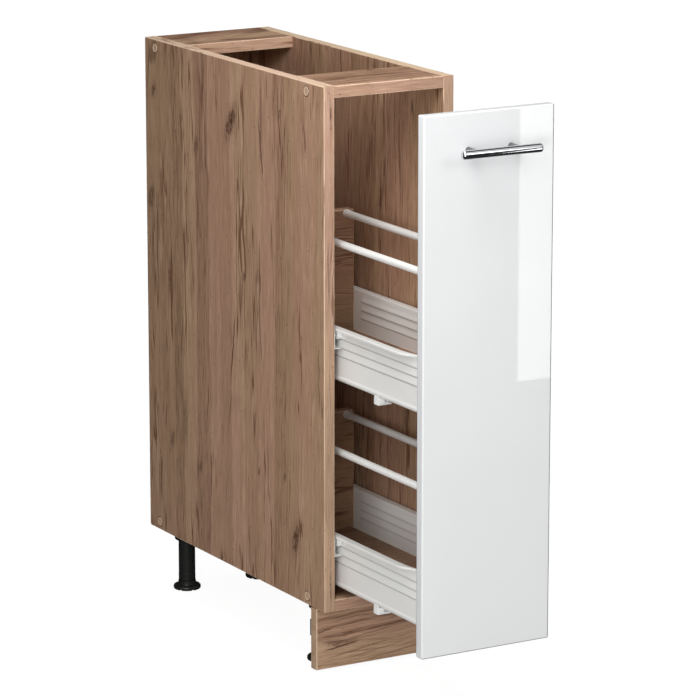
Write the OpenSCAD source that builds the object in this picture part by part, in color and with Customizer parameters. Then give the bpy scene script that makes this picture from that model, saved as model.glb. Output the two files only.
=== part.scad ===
// Narrow base cabinet with a pull-out: a board carcass on four adjustable legs, a clip-on plinth, and
// one tall door that draws two steel-sided drawers out on roller runners.
// X runs across the cabinet, Y runs from the door to the back, Z runs up. The floor is Z = 0 and the
// origin is under the middle of the whole object as it stands with the pull-out partly open.

/* [Carcass] */
// Width over both side panels
carcass_w = 200; // [180:1:300]
// Height of the side panels
carcass_h = 720; // [660:1:900]
// Depth of the side panels from the front edge to the back panel
carcass_d = 513; // [490:1:600]
// Thickness of the carcass boards
board_t = 16; // [15:0.5:19]
// Thickness of the nailed back panel
back_t = 3; // [2:0.5:6]
// Distance from the edges of the carcass to the edges of the back panel
back_inset = 1; // [0:0.5:4]
// Front to back size of a flat top rail
rail_d = 100; // [80:1:150]

/* [Carcass fasteners] */
// Distance from the front edge to the front carcass screws
screw_end = 47; // [30:1:60]
// Distance from the rear edge to the rear carcass screws
screw_rear = 30; // [20:1:45]
// Depth of a screw axis below the inner face of the board that it holds
screw_depth = 4; // [3.5:0.5:7]
// Diameter of the screw thread
screw_thread_d = 5; // [4:0.5:6]
// Diameter of the smooth shank in the side panel
screw_shank_d = 6.8; // [6:0.2:8]
// Length of the screw thread past the side panel
screw_reach = 34; // [24:1:45]
// Diameter of the screw head
screw_head_d = 10; // [9:0.5:12]
// Height of the screw head
screw_head_h = 3; // [2:0.5:4]
// Diameter of the stick-on cap over a screw
cap_d = 15; // [13:0.5:18]
// Height of a cap above the panel
cap_rise = 0.8; // [0.4:0.1:1.5]
// Depth of the plug under a cap
cap_plug = 1.2; // [0.8:0.1:2]
// Diameter of the wooden dowels
dowel_d = 8; // [6:0.5:8]
// Length of the wooden dowels
dowel_l = 30; // [24:1:35]
// Depth of a dowel in the side panel
dowel_in = 11; // [8:0.5:12]
// Distance from a screw to the dowel of a top rail
rail_dowel_step = 32; // [24:1:36]
// Distance from a screw to the dowel of the bottom panel
bottom_dowel_step = 96; // [64:1:128]
// Diameter of the back nails
nail_d = 1.6; // [1.2:0.1:2.4]
// Length of the back nails
nail_l = 20; // [14:1:25]
// Diameter of a nail head
nail_head_d = 4; // [3:0.5:5]
// Height of a nail head, which is sunk flush
nail_head_h = 0.8; // [0.5:0.1:1.2]
// Number of nails along each side of the back panel
nail_count = 5; // [3:1:7]

/* [Door] */
// Thickness of the door
door_t = 16; // [15:0.5:22]
// Gap left free above, below and beside the door
door_reveal = 2; // [1:0.5:4]
// Gap between the closed door and the carcass
door_gap = 2; // [1:0.5:4]
// Distance that the pull-out stands open, counted from closed
open_now = 233; // [0:1:320]
// Full travel of the pull-out from closed
travel = 343; // [330:1:360]

/* [Handle] */
// Length of the handle bar
handle_l = 120; // [96:1:160]
// Diameter of the handle bar
handle_d = 12; // [10:0.5:14]
// Distance from the face of the door to the axis of the bar
handle_reach = 30; // [25:1:40]
// Distance from the top edge of the door to the axis of the bar
handle_drop = 49; // [35:1:120]
// Bevel around the ends of the handle bar
handle_bevel = 0.8; // [0.4:0.1:1.5]
// Distance between the two posts
handle_pitch = 64; // [50:1:80]
// Diameter of a post
post_d = 9; // [8:0.5:11]
// Thread diameter of a handle screw
handle_screw_d = 4; // [3:0.5:5]
// Depth of a handle screw in its post
handle_screw_in = 10; // [6:1:14]
// Diameter of the head of a handle screw
handle_head_d = 8; // [7:0.5:10]
// Height of the head of a handle screw
handle_head_h = 2; // [1.5:0.5:3]

/* [Drawers] */
// Height of the lower steel sides above the underside of the carcass
lower_z = 28; // [28:1:60]
// Height from the lower drawer to the upper drawer
drawer_pitch = 288; // [260:1:320]
// Length of a steel side
side_l = 463; // [450:1:470]
// Height of a steel side
side_h = 76; // [72:1:100]
// Thickness of the steel sheet
steel_t = 1.2; // [0.8:0.1:1.6]
// Gap between the carcass wall and a steel side
runner_gap = 14; // [13.5:0.5:16]
// Reach of the top flange of a steel side towards the carcass wall
flange_w = 10; // [9:0.5:10.5]
// Height of the lip that hangs from the top flange
flange_lip = 5; // [3:0.5:6]
// Reach of the bottom flange under the drawer bottom
base_flange_w = 16; // [12:1:24]
// Height that the top edge of a steel side gains at the door
front_rise = 8; // [0:0.5:12]
// Length over which that rise runs out
front_rise_l = 98; // [60:1:140]
// Bulge of the rolled hem along the foot of a steel side
hem_bulge = 1.2; // [0.5:0.1:1.5]
// Radius of the rolled hem
hem_r = 5; // [4:0.5:8]
// Number of pressed ribs in a steel side
rib_count = 3; // [1:1:3]
// Distance from the top edge to the foot of the first rib
rib_first = 16; // [14:0.5:20]
// Distance between ribs
rib_pitch = 12; // [11:0.5:14]
// Height of a rib
rib_h = 9; // [6:0.5:10]
// Depth of a rib
rib_depth = 1.2; // [0.6:0.1:1.5]
// Height of the sharp lower edge of a rib
rib_foot = 1.5; // [1:0.5:2.5]
// Distance from the drawer back to the ribs
rib_rear = 17; // [8:1:40]
// Distance from the door to the ribs
rib_front = 40; // [36:1:80]
// Thickness of the drawer bottom and drawer back
drawer_board_t = 16; // [12:0.5:18]
// Height of the drawer back above the drawer bottom
drawer_back_h = 172; // [120:1:200]
// Height above the drawer bottom of the lower screw in a drawer back
back_screw_low = 8; // [6:1:12]
// Distance between the two screws on one side of a drawer back
back_screw_step = 14; // [10:1:20]
// Distance from the door to the first screw under a drawer bottom
base_screw_front = 60; // [40:1:90]
// Distance from the rear end of a steel side to the last screw under a drawer bottom
base_screw_rear = 50; // [30:1:80]

/* [Drawer fittings] */
// Diameter of a railing
railing_d = 10; // [8:0.5:12]
// Wall of a railing tube
railing_wall = 1; // [0.8:0.1:1.5]
// Distance from the edge of the drawer back to the axis of a railing
railing_inset = 12; // [9:0.5:16]
// Outer diameter of a railing holder
holder_d = 13; // [12.5:0.5:16]
// Length of a railing holder
holder_l = 14; // [8:1:20]
// Thickness of the closed end of a railing holder
holder_end = 2; // [1:0.5:4]
// Width of the door plate of a front bracket
bracket_w = 20; // [16:1:28]
// Length of the arm of a front bracket
bracket_l = 30; // [20:1:34]
// Height of a front bracket
bracket_h = 46; // [36:1:52]
// Sheet thickness of a front bracket
bracket_t = 1.5; // [1:0.1:2.5]
// Distance from the ends of a front bracket to its screws
bracket_screw_inset = 11; // [8:1:14]
// Distance from the door to the clip under a steel side
clip_y = 138; // [110:1:170]
// Length of a clip along the side
clip_l = 12; // [8:1:20]
// Height of a clip below the side
clip_h = 9.5; // [6:0.5:10]
// Width of the block of a clip under the side
clip_block_w = 7; // [5:0.5:10]
// Reach of the thin foot of a clip past its block
clip_foot_w = 10; // [4:0.5:14]
// Thickness of the thin foot of a clip
clip_foot_t = 2.5; // [1.5:0.5:4]
// Thickness of the hook that grips the outside of the side
clip_hook_t = 2; // [1.5:0.1:2.5]
// Height of that hook above the foot of the side
clip_hook_h = 3; // [2:0.5:8]

/* [Runners] */
// Sheet thickness of a cabinet profile
profile_t = 1.2; // [1:0.1:1.6]
// Gap between a cabinet profile and the steel side that runs past it
profile_gap = 2; // [1:0.5:3]
// Gap between the top of a cabinet profile and the lip of the steel side
lip_gap = 3.5; // [2:0.5:5]
// Distance from the front edge of the carcass to the cabinet profile
profile_front = 1; // [0.5:0.5:3]
// Diameter of the roller at the front of a cabinet profile
front_roller_d = 14; // [12:0.5:16]
// Distance from the front edge of the carcass to the axis of the front roller
front_roller_y = 8; // [8:0.5:12]
// Diameter of the roller at the rear end of a steel side
rear_roller_d = 16; // [14:0.5:18]
// Distance from the rear end of a steel side to the axis of its roller
rear_roller_inset = 12; // [10:0.5:20]
// Width of both rollers
roller_w = 6.5; // [5:0.5:6.5]
// Gap between a steel side and the front roller
roller_side_gap = 0.8; // [0.6:0.1:1]
// Length of the pin shoulder between a steel side and its rear roller
shoulder_l = 0.9; // [0.6:0.1:1]
// Diameter of a roller pin
pin_d = 4; // [3:0.5:5]
// Diameter of the shoulder of a roller pin
pin_shoulder_d = 5.5; // [5:0.5:6]
// Diameter of the head of a roller pin
pin_head_d = 6; // [5.5:0.5:6.5]
// Height of the head of a roller pin
pin_head_h = 1; // [0.8:0.1:1.2]
// Depth of the head of a roller pin below the face of its roller
pin_head_sunk = 0.1; // [0.1:0.1:0.4]
// Depth of the front stop tab below the top of the channel
stop_drop = 4; // [3:0.5:6]
// Distance from the front edge of the carcass to the first runner screw
runner_screw_first = 37; // [32:1:60]
// Distance from the rear end of a cabinet profile to the last runner screw
runner_screw_last = 37.5; // [30:0.5:60]
// Number of screws in a cabinet profile
runner_screw_count = 3; // [2:1:3]

/* [Small screws] */
// Shank diameter of the small screws
small_d = 3.5; // [3:0.1:4]
// Head diameter of the small screws
small_head_d = 7; // [6:0.5:8]
// Head height of the small screws
small_head_h = 1.4; // [1:0.1:1.8]
// Length of the small screws under the head
small_l = 13; // [10:1:14]

/* [Legs] */
// Height from the floor to the carcass
leg_h = 93; // [85:1:150]
// Distance from a side face of the cabinet to the axis of a leg
leg_side = 40; // [38:1:60]
// Distance from the front edge of the carcass to the front legs
leg_front = 79; // [70:1:100]
// Distance from the rear edge of the carcass to the rear legs
leg_rear = 36; // [30:1:80]
// Diameter of the leg tube
tube_d = 24.7; // [22:0.1:28]
// Wall of the leg tube
tube_wall = 2.3; // [1.5:0.1:4]
// Diameter of the flange of a leg socket
socket_flange_d = 40; // [36:1:46]
// Thickness of the flange of a leg socket
socket_flange_h = 4; // [3:0.5:6]
// Diameter of the collar of a leg socket
socket_collar_d = 34; // [32:0.5:36]
// Height of the collar of a leg socket
socket_collar_h = 14; // [8:1:20]
// Diameter of the peg that presses into the bottom panel
peg_d = 10; // [8:0.5:12]
// Height of that peg
peg_h = 8; // [6:0.5:9]
// Diameter of a foot
foot_d = 40; // [34:1:50]
// Height of a foot
foot_h = 13; // [10:0.5:18]
// Height of the upright rim of a foot
foot_rim_h = 5; // [3:0.5:8]
// Bevel around the underside of a foot
foot_bevel = 1; // [0.5:0.5:2]
// Height of the steep neck of a foot
foot_neck_h = 3; // [1:0.5:4]
// Step between the neck of a foot and the leg tube above it
foot_neck_step = 1; // [0.5:0.5:2]
// Number of grip notches in the rim of a foot
notch_count = 16; // [8:1:24]
// Diameter of a grip notch
notch_d = 3; // [2:0.5:4]
// Height of the stem of a foot inside its tube
stem_h = 42; // [30:1:55]

/* [Plinth] */
// Height of the plinth board
plinth_h = 86.5; // [70:0.5:88]
// Gap between the carcass and the plinth board
plinth_top_gap = 1; // [0.5:0.5:3]
// Thickness of the plinth board
plinth_t = 16; // [15:0.5:19]
// Distance from the front edge of the carcass to the face of the plinth
plinth_setback = 22; // [15:1:30]
// Width of the plate of a plinth clip
clip_plate_w = 44; // [36:1:50]
// Height of a plinth clip
plinth_clip_h = 24; // [16:1:30]
// Thickness of the plate of a plinth clip
clip_plate_t = 3; // [2:0.5:4]
// Wall of the jaw of a plinth clip
jaw_wall = 3; // [2:0.5:5]
// Distance that the jaw reaches past the axis of the leg
jaw_past = 7; // [4:0.5:10]
// Width of the neck between plate and jaw
neck_w = 12; // [8:1:20]
// Distance from the end of the plate of a plinth clip to its screw
plate_screw_inset = 4.5; // [4:0.5:8]

/* [Clearances] */
// Gap between pieces that move past each other
run_gap = 0.3; // [0.2:0.05:0.4]
// Radial gap between a roller and its pin
pin_gap = 0.05; // [0.03:0.01:0.08]
// Gap between the head of a roller pin and its roller
head_gap = 0.4; // [0.3:0.1:0.6]
// Radial gap between a fastener and its hole
fit_gap = 0.1; // [0.05:0.05:0.2]

/* [Hidden] */
$fn = 48;
past = 1;
overlap = 0.01;

door_w = carcass_w - 2 * door_reveal;
door_h = carcass_h - 2 * door_reveal;
wall_x = carcass_w / 2 - board_t;
cabinet_d = carcass_d + back_t;
pulled = door_gap + open_now;
object_front = pulled + door_t + handle_reach + handle_d / 2;
front_y = (object_front - cabinet_d) / 2;
door_y = front_y - pulled;
rear_rail_y = carcass_d - rail_d;

side_out = wall_x - runner_gap;
side_in = side_out - steel_t;
drawer_floor = steel_t + drawer_board_t;
drawer_back_y = side_l - drawer_board_t;
back_middle_y = side_l - drawer_board_t / 2;
drawer_back_top = drawer_floor + drawer_back_h;
railing_x = side_in - railing_inset;
railing_z = drawer_back_top - railing_d / 2;
rise_steps = 8;
rise_line = [
    for (i = [0:rise_steps])
    [front_rise_l * i / rise_steps, side_h + front_rise * pow(1 - i / rise_steps, 2)]
];
top_line = concat(rise_line, [[side_l, side_h]]);

rear_r = rear_roller_d / 2;
front_r = front_roller_d / 2;
rear_axis_z = side_h - flange_lip - lip_gap - profile_t - run_gap - rear_r;
front_axis_z = side_h - steel_t - run_gap - front_r;
rear_axis_y = side_l - rear_roller_inset;
closed_axis_y = rear_axis_y - door_gap;
track_z = rear_axis_z - rear_r - run_gap;
hold_z = rear_axis_z + rear_r + run_gap;
profile_low = track_z - profile_t;
profile_high = hold_z + profile_t;
web_x = wall_x - profile_t;
track_x = side_out + profile_gap;
hold_start = front_roller_y + front_r + profile_gap;
stop_half = sqrt(pow(rear_r, 2) - pow(rear_r + run_gap - stop_drop, 2));
front_stop_y = closed_axis_y - travel - stop_half - run_gap;
rear_stop_y = closed_axis_y + rear_r + run_gap;
profile_end = rear_stop_y + profile_t;
runner_screw_step = (profile_end - runner_screw_last - runner_screw_first) / (runner_screw_count - 1);
front_roller_x = side_out + roller_side_gap;
rear_roller_x = side_out + shoulder_l + run_gap;
counterbore_d = pin_head_d + 2 * head_gap;
counterbore_h = pin_head_sunk + pin_head_h + head_gap;

handle_x = handle_pitch / 2;
handle_z = door_reveal + door_h - handle_drop;
handle_face_y = -door_t;
handle_axis_y = -door_t - handle_reach;

leg_x = carcass_w / 2 - leg_side;
leg_ys = [leg_front, carcass_d - leg_rear];
tube_r = tube_d / 2;
bore_r = tube_r - tube_wall;
tube_low = foot_h + run_gap;
socket_low = leg_h - socket_flange_h - socket_collar_h;
tube_high = leg_h - socket_flange_h / 2;

plinth_high = leg_h - plinth_top_gap;
plinth_low = plinth_high - plinth_h;
clip_z = (socket_low + foot_h + plinth_low) / 2 - plinth_clip_h / 2;
clip_front = plinth_setback + plinth_t;
jaw_r = tube_r + run_gap;
jaw_front = leg_front - jaw_r - jaw_wall;
plate_screw_x = clip_plate_w / 2 - plate_screw_inset;

board_screw_ys = [screw_end, carcass_d - screw_rear];
rail_dowel_ys = [screw_end + rail_dowel_step, carcass_d - screw_rear - rail_dowel_step];
bottom_dowel_ys = [screw_end + bottom_dowel_step, carcass_d - screw_rear - bottom_dowel_step];
low_screw_z = board_t - screw_depth;
high_screw_z = carcass_h - board_t + screw_depth;
nail_side_zs = [for (i = [0:nail_count - 1]) carcass_h * (2 * i + 1) / (2 * nail_count)];
back_screw_zs = [drawer_floor + back_screw_low, drawer_floor + back_screw_low + back_screw_step];
base_screw_ys = [base_screw_front, side_l / 2, side_l - base_screw_rear];
bracket_screw_zs = [
    drawer_floor + bracket_screw_inset,
    drawer_floor + bracket_h - bracket_screw_inset
];

white_coat = [0.88, 0.88, 0.87];
white_plastic = [0.93, 0.93, 0.91];
oak = [0.6, 0.48, 0.38];
oak_edge = [0.8, 0.67, 0.57];
oak_inside = [0.5, 0.38, 0.29];
zinc = [0.68, 0.69, 0.7];
black_plastic = [0.13, 0.13, 0.13];
cap_beige = [0.82, 0.7, 0.6];

// Pieces are drawn on the right and mirrored for the left
module on_side(side) {
    mirror([side < 0 ? 1 : 0, 0, 0])
    children();
}

// Carcass frame: Y from the front edges, Z from the underside of the carcass
module in_carcass() {
    translate([0, front_y, leg_h])
    children();
}

// Pull-out frame: Y from the back of the door, Z from the underside of the carcass
module in_pullout() {
    translate([0, door_y, leg_h])
    children();
}

// One drawer, level 0 below and level 1 above, Z from the foot of its steel sides
module in_drawer(level) {
    in_pullout()
    translate([0, 0, lower_z + level * drawer_pitch])
    children();
}

// The fixed runners of one drawer, in the carcass, at the height of that drawer
module in_runner(level) {
    in_carcass()
    translate([0, 0, lower_z + level * drawer_pitch])
    children();
}

module block(x, y, z) {
    translate([x[0], y[0], z[0]])
    cube([x[1] - x[0], y[1] - y[0], z[1] - z[0]]);
}

module rod_x(x, r, y, z) {
    translate([x[0], y, z])
    rotate([0, 90, 0])
    cylinder(h = x[1] - x[0], r = r);
}

module rod_y(y, r, x, z) {
    translate([x, y[1], z])
    rotate([90, 0, 0])
    cylinder(h = y[1] - y[0], r = r);
}

module rod_z(z, r, x, y) {
    translate([x, y, z[0]])
    cylinder(h = z[1] - z[0], r = r);
}

// A flat outline of Y and Z, given thickness along X
module sheet_x(x) {
    translate([x[0], 0, 0])
    rotate([90, 0, 90])
    linear_extrude(x[1] - x[0])
    children();
}

// A cross-section of X and Z, drawn along Y
module run_y(y) {
    translate([0, y[1], 0])
    rotate([90, 0, 0])
    linear_extrude(y[1] - y[0])
    children();
}

// Carcass

module carcass_screw_places() {
    for (y = board_screw_ys, z = [low_screw_z, high_screw_z])
    translate([0, y, z])
    children();
}

module dowel_places() {
    for (y = bottom_dowel_ys)
    translate([0, y, board_t / 2])
    children();
    for (y = rail_dowel_ys)
    translate([0, y, carcass_h - board_t / 2])
    children();
}

module dowel_holes(gap) {
    dowel_places()
    rod_x([wall_x + dowel_in - dowel_l - gap, wall_x + dowel_in + gap], dowel_d / 2 + gap, 0, 0);
}

module screw_holes() {
    panel = carcass_w / 2;
    carcass_screw_places() {
        rod_x([panel - cap_plug - screw_head_h - fit_gap, panel + past], screw_head_d / 2 + fit_gap, 0, 0);
        rod_x([wall_x - past, panel], screw_shank_d / 2 + fit_gap, 0, 0);
        rod_x([wall_x - screw_reach - past, wall_x], screw_thread_d / 2 + fit_gap, 0, 0);
    }
}

module runner_screw_places() {
    for (level = [0, 1], i = [0:runner_screw_count - 1])
    translate([
        0,
        runner_screw_first + i * runner_screw_step,
        lower_z + level * drawer_pitch + rear_axis_z
    ])
    children();
}

module nail_places_side() {
    for (z = nail_side_zs)
    translate([carcass_w / 2 - board_t / 2, 0, z])
    children();
}

module nail_places_middle() {
    for (side = [-1, 1], z = [board_t / 2, carcass_h - board_t / 2])
    translate([side * wall_x / 2, 0, z])
    children();
}

module nail(gap) {
    rod_y([cabinet_d - nail_l - gap, cabinet_d], nail_d / 2 + gap, 0, 0);
    rod_y([cabinet_d - nail_head_h, cabinet_d + gap], nail_head_d / 2 + gap, 0, 0);
}

module side_panel(side) {
    color(oak)
    in_carcass()
    on_side(side)
    difference() {
        block([wall_x, carcass_w / 2], [0, carcass_d], [0, carcass_h]);
        screw_holes();
        dowel_holes(fit_gap);
        runner_screw_places()
        rod_x([wall_x - past, wall_x + small_l], small_d / 2 + fit_gap, 0, 0);
        nail_places_side()
        nail(fit_gap);
    }
}

module bottom_panel() {
    color(oak_edge)
    in_carcass()
    difference() {
        block([-wall_x, wall_x], [0, carcass_d], [0, board_t]);
        for (side = [-1, 1])
        on_side(side) {
            screw_holes();
            dowel_holes(fit_gap);
            for (y = leg_ys)
            rod_z([-past, peg_h + fit_gap], peg_d / 2 + fit_gap, leg_x, y);
        }
        nail_places_middle()
        nail(fit_gap);
    }
}

module top_rail(y) {
    color(oak_edge)
    in_carcass()
    difference() {
        block([-wall_x, wall_x], [y, y + rail_d], [carcass_h - board_t, carcass_h]);
        for (side = [-1, 1])
        on_side(side) {
            screw_holes();
            dowel_holes(fit_gap);
        }
        nail_places_middle()
        nail(fit_gap);
    }
}

module back_panel() {
    half = carcass_w / 2 - back_inset;
    color(oak_inside)
    in_carcass()
    difference() {
        block([-half, half], [carcass_d, cabinet_d], [back_inset, carcass_h - back_inset]);
        for (side = [-1, 1])
        on_side(side)
        nail_places_side()
        nail(fit_gap);
        nail_places_middle()
        nail(fit_gap);
    }
}

module back_nails() {
    color(zinc)
    in_carcass() {
        for (side = [-1, 1])
        on_side(side)
        nail_places_side()
        nail(0);
        nail_places_middle()
        nail(0);
    }
}

module carcass_screws() {
    panel = carcass_w / 2;
    color(zinc)
    in_carcass()
    for (side = [-1, 1])
    on_side(side)
    carcass_screw_places() {
        rod_x([panel - cap_plug - screw_head_h, panel - cap_plug], screw_head_d / 2, 0, 0);
        rod_x([wall_x, panel - cap_plug - screw_head_h], screw_shank_d / 2, 0, 0);
        rod_x([wall_x - screw_reach, wall_x], screw_thread_d / 2, 0, 0);
    }
}

module screw_caps() {
    panel = carcass_w / 2;
    color(cap_beige)
    in_carcass()
    for (side = [-1, 1])
    on_side(side)
    carcass_screw_places() {
        rod_x([panel - cap_plug, panel], screw_head_d / 2, 0, 0);
        rod_x([panel, panel + cap_rise], cap_d / 2, 0, 0);
    }
}

module wood_dowels() {
    color(oak_edge)
    in_carcass()
    for (side = [-1, 1])
    on_side(side)
    dowel_holes(0);
}

// Legs

module leg_place(side, i) {
    translate([side * leg_x, front_y + leg_ys[i], 0])
    children();
}

module leg_socket(side, i) {
    color(black_plastic)
    leg_place(side, i)
    difference() {
        union() {
            rod_z([leg_h - socket_flange_h, leg_h], socket_flange_d / 2, 0, 0);
            rod_z([socket_low, leg_h], socket_collar_d / 2, 0, 0);
            rod_z([leg_h, leg_h + peg_h], peg_d / 2, 0, 0);
        }
        rod_z([socket_low - past, tube_high + fit_gap], tube_r + fit_gap, 0, 0);
    }
}

module leg_tube(side, i) {
    color(black_plastic)
    leg_place(side, i)
    difference() {
        rod_z([tube_low, tube_high], tube_r, 0, 0);
        rod_z([tube_low - past, tube_high - tube_wall], bore_r, 0, 0);
    }
}

module leg_foot(side, i) {
    r = foot_d / 2;
    neck_r = tube_r + foot_neck_step;
    color(black_plastic)
    leg_place(side, i)
    difference() {
        union() {
            rotate_extrude()
            polygon([
                [0, 0],
                [r - foot_bevel, 0],
                [r, foot_bevel],
                [r, foot_rim_h],
                [(r + neck_r) / 2, foot_h - foot_neck_h],
                [neck_r, foot_h],
                [0, foot_h]
            ]);
            rod_z([foot_h, foot_h + stem_h], bore_r - run_gap, 0, 0);
        }
        for (k = [0:notch_count - 1])
        rotate([0, 0, 360 * k / notch_count])
        rod_z([-past, foot_rim_h - foot_bevel], notch_d / 2, r + notch_d / 4, 0);
    }
}

// Plinth

module plinth_board() {
    color(oak)
    translate([0, front_y, 0])
    difference() {
        block(
            [-carcass_w / 2, carcass_w / 2],
            [plinth_setback, clip_front],
            [plinth_low, plinth_high]
        );
        plinth_screw_places()
        rod_y([clip_front - small_l, clip_front + past], small_d / 2 + fit_gap, 0, 0);
    }
}

module plinth_screw_places() {
    for (side = [-1, 1], end = [-1, 1])
    translate([side * leg_x + end * plate_screw_x, 0, clip_z + plinth_clip_h / 2])
    children();
}

module plinth_clips() {
    z = [clip_z, clip_z + plinth_clip_h];
    half = jaw_r + jaw_wall;
    color(black_plastic)
    translate([0, front_y, 0])
    for (side = [-1, 1])
    on_side(side)
    difference() {
        union() {
            block(
                [leg_x - clip_plate_w / 2, leg_x + clip_plate_w / 2],
                [clip_front, clip_front + clip_plate_t],
                z
            );
            block([leg_x - neck_w / 2, leg_x + neck_w / 2], [clip_front, jaw_front + jaw_wall], z);
            block([leg_x - half, leg_x + half], [jaw_front, leg_front + jaw_past], z);
        }
        rod_z([z[0] - past, z[1] + past], jaw_r, leg_x, leg_front);
        block(
            [leg_x - jaw_r, leg_x + jaw_r],
            [leg_front, leg_front + jaw_past + past],
            [z[0] - past, z[1] + past]
        );
        for (end = [-1, 1])
        rod_y(
            [clip_front - past, clip_front + clip_plate_t + past],
            small_d / 2 + fit_gap,
            leg_x + end * plate_screw_x,
            clip_z + plinth_clip_h / 2
        );
    }
}

module plinth_screws() {
    seat = clip_front + clip_plate_t;
    color(zinc)
    translate([0, front_y, 0])
    plinth_screw_places() {
        rod_y([seat - small_l, seat], small_d / 2, 0, 0);
        rod_y([seat, seat + small_head_h], small_head_d / 2, 0, 0);
    }
}

// Runners: a channel on the carcass wall that carries one roller and holds the roller of the drawer

module runner(side, level) {
    length = [profile_front, profile_end];
    color(white_coat)
    in_runner(level)
    on_side(side)
    difference() {
        union() {
            block([web_x, wall_x], length, [profile_low, profile_high]);
            block([track_x, wall_x], length, [profile_low, track_z]);
            block([track_x, wall_x], [hold_start, length[1]], [hold_z, profile_high]);
            block(
                [web_x, wall_x],
                [profile_front, front_roller_y + front_r],
                [profile_low, front_axis_z + front_r]
            );
            block(
                [track_x, web_x],
                [front_stop_y - profile_t, front_stop_y],
                [hold_z - stop_drop, hold_z]
            );
            block([track_x, web_x], [rear_stop_y, length[1]], [track_z, hold_z]);
        }
        rod_x([web_x - past, wall_x + past], pin_d / 2 + pin_gap, front_roller_y, front_axis_z);
        for (i = [0:runner_screw_count - 1])
        rod_x(
            [web_x - past, wall_x + past],
            small_d / 2 + fit_gap,
            runner_screw_first + i * runner_screw_step,
            rear_axis_z
        );
    }
}

module runner_screws() {
    color(zinc)
    in_carcass()
    for (side = [-1, 1])
    on_side(side)
    runner_screw_places() {
        rod_x([web_x, web_x + small_l], small_d / 2, 0, 0);
        rod_x([web_x - small_head_h, web_x], small_head_d / 2, 0, 0);
    }
}

module front_roller_pins() {
    head_x = front_roller_x + pin_head_sunk;
    color(zinc)
    for (side = [-1, 1], level = [0, 1])
    in_runner(level)
    on_side(side) {
        rod_x([head_x, wall_x - fit_gap], pin_d / 2, front_roller_y, front_axis_z);
        rod_x([head_x, head_x + pin_head_h], pin_head_d / 2, front_roller_y, front_axis_z);
        rod_x(
            [front_roller_x + roller_w + run_gap, web_x],
            pin_shoulder_d / 2,
            front_roller_y,
            front_axis_z
        );
    }
}

module front_roller(side, level) {
    color(white_plastic)
    in_runner(level)
    on_side(side)
    difference() {
        rod_x([front_roller_x, front_roller_x + roller_w], front_r, front_roller_y, front_axis_z);
        rod_x(
            [front_roller_x - past, front_roller_x + roller_w + past],
            pin_d / 2 + pin_gap,
            front_roller_y,
            front_axis_z
        );
        rod_x(
            [front_roller_x - past, front_roller_x + counterbore_h],
            counterbore_d / 2,
            front_roller_y,
            front_axis_z
        );
    }
}

module rear_roller_pins() {
    head_end = rear_roller_x + roller_w - pin_head_sunk;
    color(zinc)
    for (side = [-1, 1], level = [0, 1])
    in_drawer(level)
    on_side(side) {
        rod_x([side_in, head_end], pin_d / 2, rear_axis_y, rear_axis_z);
        rod_x([head_end - pin_head_h, head_end], pin_head_d / 2, rear_axis_y, rear_axis_z);
        rod_x([side_out, side_out + shoulder_l], pin_shoulder_d / 2, rear_axis_y, rear_axis_z);
    }
}

module rear_roller(side, level) {
    color(white_plastic)
    in_drawer(level)
    on_side(side)
    difference() {
        rod_x([rear_roller_x, rear_roller_x + roller_w], rear_r, rear_axis_y, rear_axis_z);
        rod_x(
            [rear_roller_x - past, rear_roller_x + roller_w + past],
            pin_d / 2 + pin_gap,
            rear_axis_y,
            rear_axis_z
        );
        rod_x(
            [rear_roller_x + roller_w - counterbore_h, rear_roller_x + roller_w + past],
            counterbore_d / 2,
            rear_axis_y,
            rear_axis_z
        );
    }
}

// Drawers

// The top line of a steel side, and the same line one depth lower
module top_band(depth) {
    lower_line = [for (i = [len(top_line) - 1:-1:0]) top_line[i] - [0, depth]];
    polygon(concat(top_line, lower_line));
}

module rib_section(face_x, i) {
    foot = side_h - rib_first - i * rib_pitch;
    polygon([
        [face_x + overlap, foot],
        [face_x - rib_depth, foot + rib_foot],
        [face_x + overlap, foot + rib_h]
    ]);
}

module steel_side(side, level) {
    rib_run = [rib_front, drawer_back_y - rib_rear];
    color(white_coat)
    in_drawer(level)
    on_side(side)
    difference() {
        union() {
            sheet_x([side_in, side_out])
            polygon(concat([[side_l, 0], [0, 0]], top_line));
            sheet_x([side_in, side_out + flange_w])
            top_band(steel_t);
            sheet_x([side_out + flange_w - steel_t, side_out + flange_w])
            top_band(flange_lip);
            block([side_out - base_flange_w, side_out], [0, side_l], [0, steel_t]);
            intersection() {
                rod_y([0, side_l], hem_r, side_out + hem_bulge - hem_r, hem_r);
                block([side_in, side_out + hem_bulge], [0, side_l], [0, 2 * hem_r]);
            }
            for (i = [0:rib_count - 1])
            run_y(rib_run)
            rib_section(side_in, i);
        }
        for (i = [0:rib_count - 1])
        run_y(rib_run)
        rib_section(side_out, i);
        rod_x([side_in - past, side_out + past], pin_d / 2 + pin_gap, rear_axis_y, rear_axis_z);
        for (z = back_screw_zs)
        rod_x([side_in - past, side_out + past], small_d / 2 + fit_gap, back_middle_y, z);
        for (y = base_screw_ys)
        rod_z([-past, steel_t + past], small_d / 2 + fit_gap, side_in - base_flange_w / 2, y);
    }
}

module drawer_bottom(level) {
    color(oak_inside)
    in_drawer(level)
    difference() {
        block([-side_in, side_in], [0, side_l], [steel_t, drawer_floor]);
        for (side = [-1, 1], y = base_screw_ys)
        rod_z([0, small_l + fit_gap], small_d / 2 + fit_gap, side * (side_in - base_flange_w / 2), y);
    }
}

module drawer_back(level) {
    color(oak_inside)
    in_drawer(level)
    difference() {
        block([-side_in, side_in], [drawer_back_y, side_l], [drawer_floor, drawer_back_top]);
        for (side = [-1, 1], z = back_screw_zs)
        on_side(side)
        rod_x([side_out - small_l - fit_gap, side_out], small_d / 2 + fit_gap, back_middle_y, z);
    }
}

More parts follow.
